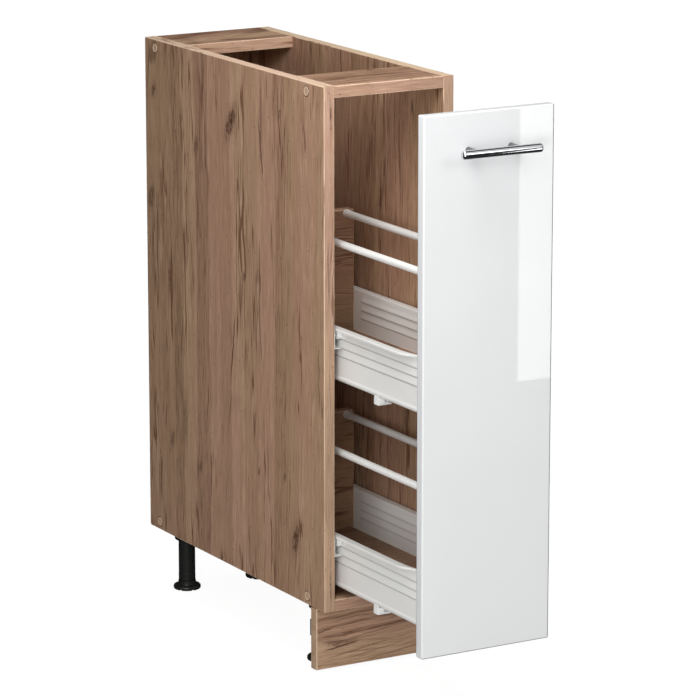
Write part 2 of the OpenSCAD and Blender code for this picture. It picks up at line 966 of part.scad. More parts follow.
module drawer_screws() {
    color(zinc)
    for (side = [-1, 1], level = [0, 1])
    in_drawer(level)
    on_side(side) {
        for (z = back_screw_zs)
        translate([side_out, back_middle_y, z]) {
            rod_x([-small_l, 0], small_d / 2, 0, 0);
            rod_x([0, small_head_h], small_head_d / 2, 0, 0);
        }
        for (y = base_screw_ys)
        translate([side_in - base_flange_w / 2, y, 0]) {
            rod_z([0, small_l], small_d / 2, 0, 0);
            rod_z([-small_head_h, 0], small_head_d / 2, 0, 0);
        }
        for (z = bracket_screw_zs)
        translate([side_in - bracket_w / 2, bracket_t, z]) {
            rod_y([-small_l, 0], small_d / 2, 0, 0);
            rod_y([0, small_head_h], small_head_d / 2, 0, 0);
        }
    }
}

module front_brackets() {
    z = [drawer_floor, drawer_floor + bracket_h];
    color(white_coat)
    for (side = [-1, 1], level = [0, 1])
    in_drawer(level)
    on_side(side)
    difference() {
        union() {
            block([side_in - bracket_w, side_in], [0, bracket_t], z);
            block([side_in - bracket_t, side_in], [0, bracket_l], z);
        }
        for (screw_z = bracket_screw_zs)
        rod_y([-past, bracket_t + past], small_d / 2 + fit_gap, side_in - bracket_w / 2, screw_z);
    }
}

module side_clips() {
    y = [clip_y, clip_y + clip_l];
    color(white_plastic)
    for (side = [-1, 1], level = [0, 1])
    in_drawer(level)
    on_side(side) {
        block([side_out - clip_block_w, side_out + hem_bulge + clip_hook_t], y, [-clip_h, 0]);
        block(
            [side_out + hem_bulge, side_out + hem_bulge + clip_hook_t],
            y,
            [-clip_h, clip_hook_h]
        );
        block(
            [side_out - clip_block_w - clip_foot_w, side_out],
            y,
            [-clip_h, clip_foot_t - clip_h]
        );
    }
}

module railing(side, level) {
    y = [holder_end, drawer_back_y - holder_end];
    color(white_coat)
    in_drawer(level)
    difference() {
        rod_y(y, railing_d / 2, side * railing_x, railing_z);
        rod_y([y[0] - past, y[1] + past], railing_d / 2 - railing_wall, side * railing_x, railing_z);
    }
}

module railing_holders() {
    color(white_plastic)
    for (side = [-1, 1], level = [0, 1])
    in_drawer(level)
    for (y = [0, drawer_back_y - holder_l])
    difference() {
        rod_y([y, y + holder_l], holder_d / 2, side * railing_x, railing_z);
        rod_y(
            [y == 0 ? holder_end : y - past, y == 0 ? holder_l + past : y + holder_l - holder_end],
            railing_d / 2 + pin_gap,
            side * railing_x,
            railing_z
        );
    }
}

// Door and handle

module door_panel() {
    color(white_plastic)
    in_pullout()
    difference() {
        block([-door_w / 2, door_w / 2], [-door_t, 0], [door_reveal, door_reveal + door_h]);
        for (side = [-1, 1])
        rod_y([-door_t - past, past], handle_screw_d / 2 + fit_gap, side * handle_x, handle_z);
        for (side = [-1, 1], level = [0, 1], z = bracket_screw_zs)
        rod_y(
            [bracket_t - small_l - fit_gap, past],
            small_d / 2 + fit_gap,
            side * (side_in - bracket_w / 2),
            lower_z + level * drawer_pitch + z
        );
    }
}

module handle_bar() {
    r = handle_d / 2;
    color(zinc)
    in_pullout()
    translate([-handle_l / 2, handle_axis_y, handle_z])
    rotate([0, 90, 0])
    rotate_extrude()
    polygon([
        [0, 0],
        [r - handle_bevel, 0],
        [r, handle_bevel],
        [r, handle_l - handle_bevel],
        [r - handle_bevel, handle_l],
        [0, handle_l]
    ]);
}

module handle_posts() {
    color(zinc)
    in_pullout()
    for (side = [-1, 1])
    difference() {
        rod_y([handle_axis_y, handle_face_y], post_d / 2, side * handle_x, handle_z);
        rod_x([-handle_l, handle_l], handle_d / 2, handle_axis_y, handle_z);
        rod_y(
            [handle_face_y - handle_screw_in - fit_gap, past],
            handle_screw_d / 2 + fit_gap,
            side * handle_x,
            handle_z
        );
    }
}

module handle_screws() {
    color(zinc)
    in_pullout()
    for (side = [-1, 1]) {
        rod_y([handle_face_y - handle_screw_in, 0], handle_screw_d / 2, side * handle_x, handle_z);
        rod_y([0, handle_head_h], handle_head_d / 2, side * handle_x, handle_z);
    }
}

side_panel(-1);  // side_panel_left
side_panel(1);  // side_panel_right
bottom_panel();
top_rail(0);  // top_rail_front
top_rail(rear_rail_y);  // top_rail_rear
back_panel();
back_nails();
carcass_screws();
screw_caps();
wood_dowels();
leg_socket(-1, 0);  // leg_socket_front_left
leg_socket(1, 0);  // leg_socket_front_right
leg_socket(-1, 1);  // leg_socket_rear_left
leg_socket(1, 1);  // leg_socket_rear_right
leg_tube(-1, 0);  // leg_tube_front_left
leg_tube(1, 0);  // leg_tube_front_right
leg_tube(-1, 1);  // leg_tube_rear_left
leg_tube(1, 1);  // leg_tube_rear_right
leg_foot(-1, 0);  // leg_foot_front_left
leg_foot(1, 0);  // leg_foot_front_right
leg_foot(-1, 1);  // leg_foot_rear_left
leg_foot(1, 1);  // leg_foot_rear_right
plinth_board();
plinth_clips();
plinth_screws();
runner(-1, 0);  // runner_lower_left
runner(1, 0);  // runner_lower_right
runner(-1, 1);  // runner_upper_left
runner(1, 1);  // runner_upper_right
runner_screws();
front_roller_pins();
rear_roller_pins();
front_roller(-1, 0);  // front_roller_lower_left
front_roller(1, 0);  // front_roller_lower_right
front_roller(-1, 1);  // front_roller_upper_left
front_roller(1, 1);  // front_roller_upper_right
rear_roller(-1, 0);  // rear_roller_lower_left
rear_roller(1, 0);  // rear_roller_lower_right
rear_roller(-1, 1);  // rear_roller_upper_left
rear_roller(1, 1);  // rear_roller_upper_right
steel_side(-1, 0);  // steel_side_lower_left
steel_side(1, 0);  // steel_side_lower_right
steel_side(-1, 1);  // steel_side_upper_left
steel_side(1, 1);  // steel_side_upper_right
drawer_bottom(0);  // drawer_bottom_lower
drawer_bottom(1);  // drawer_bottom_upper
drawer_back(0);  // drawer_back_lower
drawer_back(1);  // drawer_back_upper
railing(-1, 0);  // railing_lower_left
railing(1, 0);  // railing_lower_right
railing(-1, 1);  // railing_upper_left
railing(1, 1);  // railing_upper_right
railing_holders();
front_brackets();
side_clips();
drawer_screws();
door_panel();
handle_bar();
handle_posts();
handle_screws();
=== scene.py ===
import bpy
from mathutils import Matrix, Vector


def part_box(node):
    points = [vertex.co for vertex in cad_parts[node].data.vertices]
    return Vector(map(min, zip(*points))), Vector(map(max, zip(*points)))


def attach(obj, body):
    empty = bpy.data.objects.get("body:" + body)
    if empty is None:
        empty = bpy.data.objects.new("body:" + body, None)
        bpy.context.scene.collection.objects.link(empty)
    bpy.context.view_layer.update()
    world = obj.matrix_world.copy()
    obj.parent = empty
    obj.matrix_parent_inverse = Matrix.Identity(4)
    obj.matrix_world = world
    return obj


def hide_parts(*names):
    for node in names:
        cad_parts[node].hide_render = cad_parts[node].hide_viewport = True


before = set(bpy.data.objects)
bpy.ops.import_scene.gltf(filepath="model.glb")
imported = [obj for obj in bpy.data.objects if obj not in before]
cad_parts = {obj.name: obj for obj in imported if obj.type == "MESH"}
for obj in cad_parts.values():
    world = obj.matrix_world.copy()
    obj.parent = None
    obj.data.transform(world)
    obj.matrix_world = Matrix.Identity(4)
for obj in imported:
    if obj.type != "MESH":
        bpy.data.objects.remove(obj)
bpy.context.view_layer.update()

import bpy
import bmesh
import math
from mathutils import Vector


# Side panels: two 16 mm chipboard panels with an oak decor foil on both faces, grain upright.
# Their narrow edges carry a paler 1 mm band of the same decor, glued on and trimmed round.
band = 0.001
trim_steps = 4


def arc(centre_a, centre_b, radius, start, end, steps):
    """Points along an arc between two angles in degrees, with both its ends."""
    turns = [math.radians(start + (end - start) * k / steps) for k in range(steps + 1)]
    return [(centre_a + radius * math.cos(turn), centre_b + radius * math.sin(turn)) for turn in turns]


def add_part(bm, part, finish, picked=(), picked_finish=0):
    """Adds one loose part of a piece, in the finish of that number, with some faces in another."""
    bmesh.ops.recalc_face_normals(part, faces=part.faces[:])
    for face in part.faces:
        face.material_index = finish
    for face in picked:
        face.material_index = picked_finish
    held = bpy.data.meshes.new("part")
    part.to_mesh(held)
    part.free()
    bm.from_mesh(held)
    bpy.data.meshes.remove(held)


def add_block(bm, lo, hi, rounding=0.0, finish=0, steps=2):
    """A cuboid between two corners, with its edges rounded."""
    part = bmesh.new()
    bmesh.ops.create_cube(part, size=1)
    for v in part.verts:
        v.co = [lo[i] + (v.co[i] + 0.5) * (hi[i] - lo[i]) for i in range(3)]
    if rounding:
        bmesh.ops.bevel(
            part, geom=part.edges[:], offset=rounding, segments=steps, profile=0.5, affect="EDGES"
        )
    add_part(bm, part, finish)


def add_bar(bm, outline, place, start, end, finish=0, arris_finish=None):
    """A straight bar: place(p, t) puts outline point p at distance t along it.
    With an arris finish, the outline is two rounded corners of trim_steps faces each."""
    part = bmesh.new()
    rings = [[part.verts.new(place(p, t)) for p in outline] for t in (start, end)]
    count = len(outline)
    for i in range(count):
        j = (i + 1) % count
        part.faces.new((rings[0][i], rings[0][j], rings[1][j], rings[1][i]))
    part.faces.new(rings[0][::-1])
    part.faces.new(rings[1])
    part.faces.ensure_lookup_table()
    arrises = []
    if arris_finish is not None:
        arrises = part.faces[0:trim_steps] + part.faces[trim_steps + 1:2 * trim_steps + 1]
    add_part(bm, part, finish, arrises, arris_finish)


def make_piece(name, bm, finishes, body, node, sharp=32):
    """One smooth-shaded object from the collected parts. It moves with its body and stands for the
    CAD node; edges sharper than that many degrees stay crisp."""
    mesh = bpy.data.meshes.new(name)
    bm.to_mesh(mesh)
    bm.free()
    for finish in finishes:
        mesh.materials.append(finish)
    mesh.shade_smooth()
    mesh.set_sharp_from_angle(angle=math.radians(sharp))
    piece = bpy.data.objects.new(name, mesh)
    bpy.context.scene.collection.objects.link(piece)
    flat = piece.modifiers.new("flat_faces", "WEIGHTED_NORMAL")
    flat.keep_sharp = True
    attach(piece, body)
    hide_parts(node)
    return piece


def cut_board(name, node, thin, finishes, body="carcass", edge_finishes=(1, 1, 1, 1)):
    """A board with its two faces in the first finish and four trimmed edge bands.
    edge_finishes go with the low and high side of its first and second long direction.
    The last finish is that of the trimmed arrises of the bands, painted lighter there as a highlight."""
    lo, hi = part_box(node)
    bm = bmesh.new()
    a, b = [i for i in range(3) if i != thin]
    core_lo, core_hi = list(lo), list(hi)
    for i in (a, b):
        core_lo[i] += band
        core_hi[i] -= band
    add_block(bm, core_lo, core_hi)
    for e, r, first in ((a, b, 0), (b, a, 2)):
        mitre = band if e == b else 0
        for side in (0, 1):
            inward = 1 - 2 * side
            depth = (lo, hi)[side][e] + inward * band
            outline = arc(lo[thin] + band, depth, band, 180, 180 + 90 * inward, trim_steps)
            outline += arc(hi[thin] - band, depth, band, -90 * inward, 0, trim_steps)

            def place(p, t):
                co = [0, 0, 0]
                co[thin], co[e], co[r] = p[0], p[1], t
                return co

            add_bar(bm, outline, place, lo[r] + mitre, hi[r] - mitre, edge_finishes[first + side],
                    len(finishes) - 1)
    make_piece(name, bm, finishes, body, node)


def fill(tree, node, inputs):
    """Gives a node's inputs their values, which are sockets or plain ones."""
    for label, value in inputs.items():
        if isinstance(value, bpy.types.NodeSocket):
            tree.links.new(value, node.inputs[label])
        else:
            node.inputs[label].default_value = value


def new_node(tree, kind, inputs, **settings):
    """A shader node with its settings and its inputs."""
    node = tree.nodes.new("ShaderNode" + kind)
    for label, value in settings.items():
        setattr(node, label, value)
    fill(tree, node, inputs)
    return node


def group_start(name, inputs, outputs):
    """An empty shader node group with those sockets, what it is given and its result."""
    tree = bpy.data.node_groups.new(name, "ShaderNodeTree")
    for label, kind, value in inputs:
        socket = tree.interface.new_socket(label, in_out="INPUT", socket_type="NodeSocket" + kind)
        if value is not None:
            socket.default_value = value
    for label, kind in outputs:
        tree.interface.new_socket(label, in_out="OUTPUT", socket_type="NodeSocket" + kind)
    return tree, tree.nodes.new("NodeGroupInput").outputs, tree.nodes.new("NodeGroupOutput")


def calc(tree, operation, *values, clamp=False):
    """A maths node fed by sockets or by plain numbers."""
    return new_node(tree, "Math", dict(enumerate(values)), operation=operation, use_clamp=clamp).outputs[0]


def times(tree, first, second, clamp=False):
    return calc(tree, "MULTIPLY", first, second, clamp=clamp)


def stretch(tree, place, scale, shift=(0, 0, 0)):
    """The place, scaled along each of its directions and moved."""
    return new_node(tree, "VectorMath", {0: place, 1: scale, 2: shift}, operation="MULTIPLY_ADD").outputs[0]


def cloud(tree, place, scale, detail=2.0, rough=0.5, warp=0.0, shift=(0, 0, 0)):
    """Soft noise from 0 to 1."""
    return new_node(tree, "TexNoise", {
        "Vector": stretch(tree, place, scale, shift), "Scale": 1.0, "Detail": detail,
        "Roughness": rough, "Distortion": warp,
    }).outputs["Fac"]


def ripple(tree, place, scale, shift=(0, 0, 0), detail=3, rough=0.55, warp=0.0):
    """Soft noise about zero."""
    return calc(tree, "SUBTRACT", cloud(tree, place, scale, detail, rough, warp, shift), 0.5)


def ease(tree, value, low, high, at_low=0.0, at_high=1.0):
    """A value carried smoothly from one range to another, and held at its ends."""
    return new_node(tree, "MapRange", {
        "Value": value, "From Min": low, "From Max": high, "To Min": at_low, "To Max": at_high,
    }, interpolation_type="SMOOTHSTEP").outputs["Result"]


def blend_colour(tree, factor, first, second, kind="MIX"):
    """Two colours mixed by a factor."""
    inputs = {0: factor, 6: first, 7: second}
    return new_node(tree, "Mix", inputs, data_type="RGBA", blend_type=kind).outputs[2]


def directions(tree, place):
    """The three parts of a place, each on its own."""
    return new_node(tree, "SeparateXYZ", {0: place}).outputs


def srgb(red, green, blue):
    """A colour given as it is seen on a screen, 0 to 255."""
    def linear(c):
        c /= 255
        return c / 12.92 if c < 0.04045 else ((c + 0.055) / 1.055) ** 2.4
    return (linear(red), linear(green), linear(blue), 1.0)


def tones(*colours):
    return tuple(srgb(*colour) for colour in colours)


def oak_decor_group():
    """Printed oak: planks, streaks, arcs, wavy hairlines, pores, specks and a few cracks.
    Place holds across, depth and along the grain, in metres."""
    tree, given, result = group_start(
        "oak_decor",
        [
            ("Place", "Vector", None),
            ("Dark", "Color", srgb(110, 80, 60)),
            ("Middle", "Color", srgb(175, 143, 119)),
            ("Light", "Color", srgb(204, 172, 147)),
            ("Planks", "Float", 0.35),
            ("Streaks", "Float", 1.0),
            ("Arcs", "Float", 0.3),
            ("Cracks", "Float", 1.0),
            ("Tone", "Float", 0.5),
        ],
        [("Color", "Color"), ("Roughness", "Float"), ("Height", "Float")],
    )
    place, dark, light = given["Place"], given["Dark"], given["Light"]

    def add(total, value, weight):
        return calc(tree, "ADD", total, times(tree, value, weight))

    wander = times(tree, ripple(tree, place, (5, 2, 1.6), (3.1, 0, 7.7), 2), 0.024)
    wander = add(wander, ripple(tree, place, (26, 5, 8), (11, 0, 2), 2), 0.013)
    wander = add(wander, ripple(tree, place, (60, 9, 30), (1, 0, 6), 2), 0.0045)
    aside = new_node(tree, "CombineXYZ", {0: wander}).outputs[0]
    bent = new_node(tree, "VectorMath", {0: place, 1: aside}, operation="ADD").outputs[0]

    plank_place = calc(tree, "MULTIPLY_ADD", directions(tree, bent)[0], 26.0, 4.3)
    plank = new_node(tree, "TexVoronoi", {"Scale": 1.0, "W": plank_place}, voronoi_dimensions="1D")
    plank_parts = new_node(tree, "SeparateColor", {0: plank.outputs["Color"]})
    plank_tone = calc(tree, "SUBTRACT", plank_parts.outputs[0], 0.5)

    soft = ripple(tree, bent, (20, 6, 2.4), (0, 3, 1))
    streak = ripple(tree, bent, (78, 12, 2.2), (5, 0, 4), 3, 0.6, 0.2)
    fine = ripple(tree, bent, (230, 26, 6.0), (2, 4, 0), 3, 0.6, 0.3)
    fibre = ripple(tree, bent, (760, 70, 26), (0, 8, 0), 2, 0.6)
    hills = cloud(tree, place, (8, 3, 1.15), 1.5, 0.45, 0.15, (9, 1, 5))
    rings = ease(tree, calc(tree, "SINE", times(tree, hills, 120.0)), 0.0, 1.0, 0.4, -1.0)

    tone = add(given["Tone"], plank_tone, given["Planks"])
    run = times(tree, soft, 0.26)
    for grain, weight in ((streak, 0.18), (fine, 0.56), (fibre, 1.35)):
        run = add(run, grain, weight)
    tone = add(tone, run, given["Streaks"])
    tone = add(tone, times(tree, rings, 0.16), given["Arcs"])
    colour = blend_colour(tree, ease(tree, tone, 0.0, 0.5), dark, given["Middle"])
    colour = blend_colour(tree, ease(tree, tone, 0.45, 1.0), colour, light)
    warmth = ease(tree, ripple(tree, bent, (15, 4, 1.4), (6, 2, 8), 2), -0.12, 0.12)
    tint = blend_colour(tree, warmth, srgb(252, 248, 235), srgb(253, 240, 237))
    colour = blend_colour(tree, 0.8, colour, tint, "MULTIPLY")

    def hairlines(scale, shift, width, sparse, detail=2):
        """Thin wavy lines along the grain, kept only in patches, and a painted highlight along one side of
        each.
        """
        thread = ripple(tree, bent, scale, shift, detail, 0.5, 0.3)
        line = ease(tree, calc(tree, "ABSOLUTE", thread), width * 0.3, width, 1.0, 0.0)
        patch = ease(tree, ripple(tree, place, (26, 4, 4.5), shift[::-1], 3), sparse, sparse + 0.07)
        rise = ease(tree, thread, width * 0.8, width * 1.6)
        fall = ease(tree, thread, width * 1.8, width * 3.2, 1.0, 0.0)
        return times(tree, line, patch), times(tree, times(tree, rise, fall), patch)

    long_hair, long_painted_highlight = hairlines((44, 5, 1.5), (4, 1, 2), 0.015, 0.025)
    short_hair, short_painted_highlight = hairlines((105, 9, 4), (8, 3, 5), 0.034, 0.050, 3)
    hair = calc(tree, "MAXIMUM", long_hair, short_hair)
    painted_highlight = calc(tree, "MAXIMUM", long_painted_highlight, short_painted_highlight)
    crack = times(tree, hairlines((19, 4, 1.3), (2, 6, 9), 0.010, 0.075)[0], given["Cracks"], clamp=True)
    pores = ease(tree, ripple(tree, bent, (820, 90, 75), (7, 0, 0), 2), 0.12, 0.18)
    pores = times(tree, pores, ease(tree, fine, -0.12, 0.06, 0.30, 0.05))
    dots = new_node(tree, "TexVoronoi", {"Scale": 1.0, "Vector": stretch(tree, place, (95, 95, 50))})
    speck = ease(tree, dots.outputs["Distance"], 0.05, 0.13, 0.8, 0.0)

    darker = blend_colour(tree, 0.50, dark, srgb(62, 32, 18))
    reddish = blend_colour(tree, 0.60, dark, srgb(112, 62, 34))
    colour = blend_colour(tree, pores, colour, dark)
    # The painted highlight lightens the decor beside each hairline, as if its relief caught the light.
    marks = ((painted_highlight, 0.40, light), (hair, 0.80, reddish), (crack, 0.72, darker), (speck, 0.62, darker))
    for mark, strength, shade in marks:
        colour = blend_colour(tree, times(tree, mark, strength), colour, shade)
    height = add(times(tree, fibre, 0.5), fine, 0.4)
    for groove, depth in ((crack, -1.0), (hair, -0.8), (pores, -0.9), (speck, -0.8)):
        height = add(height, groove, depth)
    roughness = calc(tree, "MULTIPLY_ADD", fibre, -0.12, 0.50)
    fill(tree, result, {"Color": colour, "Roughness": roughness, "Height": height})
    return tree


def mark_group(name, dark, mask_of):
    """A dark mark in the decor at a place across and along the grain. Its mask comes from the place
    and from the distances off the mark's middle, counted in its width and its length."""
    inputs = [("Place", "Vector", None), ("Base", "Color", None), ("Dark", "Color", dark)]
    inputs += [(label, "Float", 0.0) for label in ("Across", "Along", "Width", "Length", "Depth", "Lean")]
    tree, given, result = group_start(name, inputs, [("Color", "Color")])
    parts = directions(tree, given["Place"])
    across = calc(tree, "DIVIDE", calc(tree, "SUBTRACT", parts[0], given["Across"]), given["Width"])
    along = calc(tree, "DIVIDE", calc(tree, "SUBTRACT", parts[2], given["Along"]), given["Length"])
    lean = calc(tree, "MULTIPLY_ADD", along, given["Lean"], across)
    mask = times(tree, mask_of(tree, given["Place"], lean, along), given["Depth"], clamp=True)
    fill(tree, result, {"Color": blend_colour(tree, mask, given["Base"], given["Dark"])})
    return tree


def knot_mask(tree, place, lean, along):
    """A knot: dark split strands with curling grain round them, drawn out along the grain."""
    ragged = ripple(tree, place, (230, 40, 80), detail=3, rough=0.6)
    strands = cloud(tree, place, (480, 40, 150), 3, 0.65, 0.8, (3, 1, 2))
    reach = calc(tree, "SQRT", calc(tree, "ADD", times(tree, lean, lean), times(tree, along, along)))
    reach = calc(tree, "MULTIPLY_ADD", ragged, 1.5, reach)
    heart = times(tree, ease(tree, reach, 0.45, 1.15, 1.0, 0.0), ease(tree, strands, 0.46, 0.60, 1.0, 0.30))
    curl = calc(tree, "SINE", times(tree, reach, 13.0))
    curl = times(tree, ease(tree, curl, 0.1, 1.0), ease(tree, reach, 0.5, 2.2, 1.0, 0.0))
    mask = calc(tree, "MAXIMUM", heart, times(tree, curl, 0.38))
    return calc(tree, "MAXIMUM", mask, ease(tree, reach, 0.3, 1.6, 0.34, 0.0))


def split_mask(tree, place, lean, along):
    """A dry split: a thin line along the grain that wavers and fades at its ends."""
    waver = ripple(tree, place, (30, 30, 55), detail=2, rough=0.5)
    aside = calc(tree, "ABSOLUTE", calc(tree, "MULTIPLY_ADD", waver, 3.2, lean))
    to_end = calc(tree, "ABSOLUTE", calc(tree, "MULTIPLY_ADD", waver, 0.6, along))
    return times(tree, ease(tree, aside, 0.30, 1.05, 1.0, 0.0), ease(tree, to_end, 0.45, 1.0, 1.0, 0.0))


oak_decor = oak_decor_group()
oak_knot = mark_group("oak_knot", srgb(84, 54, 37), knot_mask)
oak_split = mark_group("oak_split", srgb(88, 56, 38), split_mask)


def new_finish(name, roughness=0.5, specular=0.5):
    """A material with its shader, ready for its nodes."""
    finish = bpy.data.materials.new(name)
    finish.use_nodes = True
    tree = finish.node_tree
    shader = tree.nodes["Principled BSDF"]
    fill(tree, shader, {"Roughness": roughness, "Specular IOR Level": specular})
    return finish, tree, shader


def add_bump(tree, shader, height, strength, distance):
    """Lets a height shape the surface finely."""
    bump = new_node(tree, "Bump", {"Strength": strength, "Distance": distance, "Height": height})
    fill(tree, shader, {"Normal": bump.outputs["Normal"]})


def here(tree):
    """The place on the piece, in metres."""
    return tree.nodes.new("ShaderNodeTexCoord").outputs["Object"]


def turned_place(tree, order, shift):
    """The place with its directions reordered, so that the grain runs along the last."""
    source = directions(tree, here(tree))
    parts = {i: calc(tree, "ADD", source["XYZ".index(order[i])], shift[i]) for i in range(3)}
    return new_node(tree, "CombineXYZ", parts).outputs[0]


def oak_finish(name, order, shift, dark_to_light=(), planks=0.35, streaks=1.0, arcs=0.3, cracks=1.0,
               tone=0.5, knots=(), splits=()):
    """Oak decor whose grain runs along the last of the three directions in order.
    knots and splits are (across, along, width, length, depth, lean) in the piece's own metres."""
    finish, tree, shader = new_finish(name, specular=0.35)
    place = turned_place(tree, order, shift)
    inputs = {
        "Place": place, "Planks": planks, "Streaks": streaks, "Arcs": arcs, "Cracks": cracks, "Tone": tone,
    }
    inputs.update(zip(("Dark", "Middle", "Light"), dark_to_light))
    decor = new_node(tree, "Group", inputs, node_tree=oak_decor).outputs
    colour = decor["Color"]
    for group, marks in ((oak_knot, knots), (oak_split, splits)):
        for across, along, width, length, depth, lean in marks:
            colour = new_node(tree, "Group", {
                "Place": place, "Base": colour, "Across": across + shift[0], "Along": along + shift[2],
                "Width": width, "Length": length, "Depth": depth, "Lean": lean,
            }, node_tree=group).outputs["Color"]
    fill(tree, shader, {"Base Color": colour, "Roughness": decor["Roughness"]})
    add_bump(tree, shader, decor["Height"], 0.5, 0.0012)
    return finish


left_knots = (
    (0.1441, 0.7278, 0.0130, 0.0260, 1.00, 0.9),
    (0.3754, 0.7404, 0.0065, 0.0120, 0.90, 0.4),
    (0.3864, 0.5833, 0.0100, 0.0200, 0.75, 0.4),
    (0.2478, 0.6793, 0.0080, 0.0150, 0.65, 0.4),
    (0.0593, 0.7380, 0.0030, 0.0600, 0.70, 0.4),
    (0.0060, 0.7595, 0.0050, 0.0100, 0.60, 0.4),
    (0.3318, 0.4751, 0.0035, 0.0300, 0.75, 0.4),
    (0.1079, 0.5173, 0.0035, 0.0080, 0.95, 0.4),
    (0.0721, 0.5206, 0.0040, 0.0130, 0.60, 0.4),
    (0.2403, 0.2173, 0.0055, 0.0100, 0.75, 0.4),
    (-0.0355, 0.1777, 0.0110, 0.0250, 0.95, 0.4),
    (0.0678, 0.2504, 0.0035, 0.0065, 0.75, 0.4),
    (-0.0052, 0.2578, 0.0035, 0.0065, 0.85, 0.4),
    (0.3256, 0.2386, 0.0060, 0.0150, 0.75, 0.4),
    (0.2857, 0.2724, 0.0070, 0.0480, 0.50, 0.4),
)
left_splits = (
    (0.0593, 0.7037, 0.0018, 0.0535, 0.80, -4.7),
    (0.1418, 0.4083, 0.0020, 0.0572, 0.95, 3.9),
    (0.2949, 0.3930, 0.0016, 0.0357, 0.70, 1.9),
    (0.2089, 0.2117, 0.0018, 0.0378, 0.90, 0.8),
    (-0.0999, 0.4129, 0.0016, 0.0516, 0.80, -1.2),
    (0.2208, 0.2897, 0.0014, 0.0321, 0.60, 1.1),
    (0.3457, 0.2708, 0.0016, 0.0239, 0.70, 1.0),
    (0.0424, 0.7918, 0.0014, 0.0196, 0.70, 0.0),
    (0.1514, 0.3179, 0.0015, 0.0312, 0.60, 3.9),
)
right_knots = (
    (0.05, 0.62, 0.006, 0.020, 0.6, 0.4),
    (-0.02, 0.33, 0.007, 0.03, 0.6, 0.4),
    (0.25, 0.5, 0.008, 0.03, 0.7, 0.4),
)
band_knots = (
    (-0.0895, 0.770, 0.0014, 0.026, 0.9, 0.4),
    (-0.0905, 0.135, 0.0016, 0.030, 0.7, 0.4),
    (-0.0935, 0.560, 0.0012, 0.040, 0.5, 0.4),
)
side_left_decor = oak_finish(
    "side_left_decor", "YXZ", (0.31, 0.0, 0.20), streaks=0.9, cracks=0.75, tone=0.52,
    knots=left_knots, splits=left_splits,
)
side_right_decor = oak_finish("side_right_decor", "YXZ", (1.73, 0.0, 1.10), knots=right_knots)
front_tones = tones((149, 118, 97), (191, 160, 138), (217, 191, 169))
band_upright = oak_finish(
    "band_upright", "XYZ", (2.2, 0.5, 0.4), front_tones, 0.1, 0.9, 0.1, 0.7, knots=band_knots
)
top_tones = tones((182, 156, 130), (227, 203, 177), (243, 224, 200))
band_deep = oak_finish("band_deep", "XZY", (3.1, 0.2, 0.9), top_tones, 0.1, 1.0, 0.1, 0.8)
# The arrises of the bands are painted lighter, a painted highlight along their rounded edges.
arris_highlight_tones = tones((190, 158, 132), (228, 200, 176), (246, 226, 206))
band_arris_highlight = oak_finish("band_arris_highlight", "XYZ", (2.7, 0.5, 0.4), arris_highlight_tones, 0.1, 0.9, 0.1, 0.5)
for side, decor in (("left", side_left_decor), ("right", side_right_decor)):
    cut_board("panel_" + side, "side_panel_" + side, 0, [decor, band_upright, band_deep, band_arris_highlight],
              edge_finishes=(1, 1, 2, 2))


# Bottom panel: a 16 mm board of the same decor between the sides, its grain running across.
# Only its front edge is banded in view; it is screwed and dowelled through the side panels.
bottom_decor = oak_finish("bottom_decor", "YZX", (0.7, 0.1, 0.3), planks=0.4, arcs=0.5)
cross_tones = tones((142, 112, 92), (183, 151, 128), (209, 180, 157))
band_across = oak_finish("band_across", "ZYX", (1.3, 0.2, 0.1), cross_tones, 0.1, 1.0, 0.2, 0.8)
cut_board("bottom_board", "bottom_panel", 2, [bottom_decor, band_across, band_arris_highlight])


# Top rails: two flat 100 mm strips of the board that tie the sides together and carry the worktop.
# Grain across; the edges that face the door and the opening are banded.
rail_decor = oak_finish("rail_decor", "YZX", (1.9, 0.4, 0.8), planks=0.5, arcs=0.9, tone=0.47)
rear_edge_tones = tones((170, 138, 112), (212, 178, 152), (230, 202, 176))
band_bright = oak_finish("band_bright", "ZYX", (0.3, 0.2, 0.6), rear_edge_tones, 0.1, 0.9, 0.2, 0.8)
for end, edge_band in (("front", band_across), ("rear", band_bright)):
    cut_board("rail_" + end, "top_rail_" + end, 2, [rail_decor, edge_band, band_arris_highlight])


# Back panel: 3 mm fibreboard, faced inside with the decor and bare brown outside, nailed on flush.
# The nails, dowels and screws are carried over with metal and wood finishes of their own.
fibreboard, tree, shader = new_finish("fibreboard", 0.75, 0.25)
fuzz = cloud(tree, here(tree), (900, 900, 900), 4, 0.7)
patch = cloud(tree, here(tree), (9, 9, 5), 3, 0.5)
colour = blend_colour(tree, fuzz, srgb(112, 84, 62), srgb(150, 118, 90))
colour = blend_colour(tree, times(tree, patch, 0.35), colour, srgb(98, 72, 54))
fill(tree, shader, {"Base Color": colour})
add_bump(tree, shader, fuzz, 0.25, 0.0004)
back_decor = oak_finish("back_decor", "XYZ", (4.3, 0.0, 0.6), planks=0.5)


def middle(lo, hi):
    """The point halfway between two corners."""
    return [(p + q) / 2 for p, q in zip(lo, hi)]


lo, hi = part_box("back_panel")
glue_line = middle(lo, hi)[1]
bm = bmesh.new()
add_block(bm, lo, (hi[0], glue_line, hi[2]), 0.0003, 0)
add_block(bm, (lo[0], glue_line, lo[2]), hi, 0.0003, 1)
make_piece("back_board", bm, [back_decor, fibreboard], "carcass", "back_panel")


def mottled_finish(name, noise, dark, light, roughness, specular=0.5, metallic=0.0, gloss=None,
                   relief=None):
    """Two close tones, mixed by one noise of that scale, detail and roughness. The noise may also
    sway the gloss, as low, high and the roughness at each, and lift the surface."""
    finish, tree, shader = new_finish(name, roughness, specular)
    mottle = cloud(tree, here(tree), *noise)
    colour = blend_colour(tree, mottle, srgb(*dark), srgb(*light))
    fill(tree, shader, {"Base Color": colour, "Metallic": metallic})
    if gloss:
        fill(tree, shader, {"Roughness": ease(tree, mottle, *gloss)})
    if relief:
        add_bump(tree, shader, mottle, *relief)
    return finish


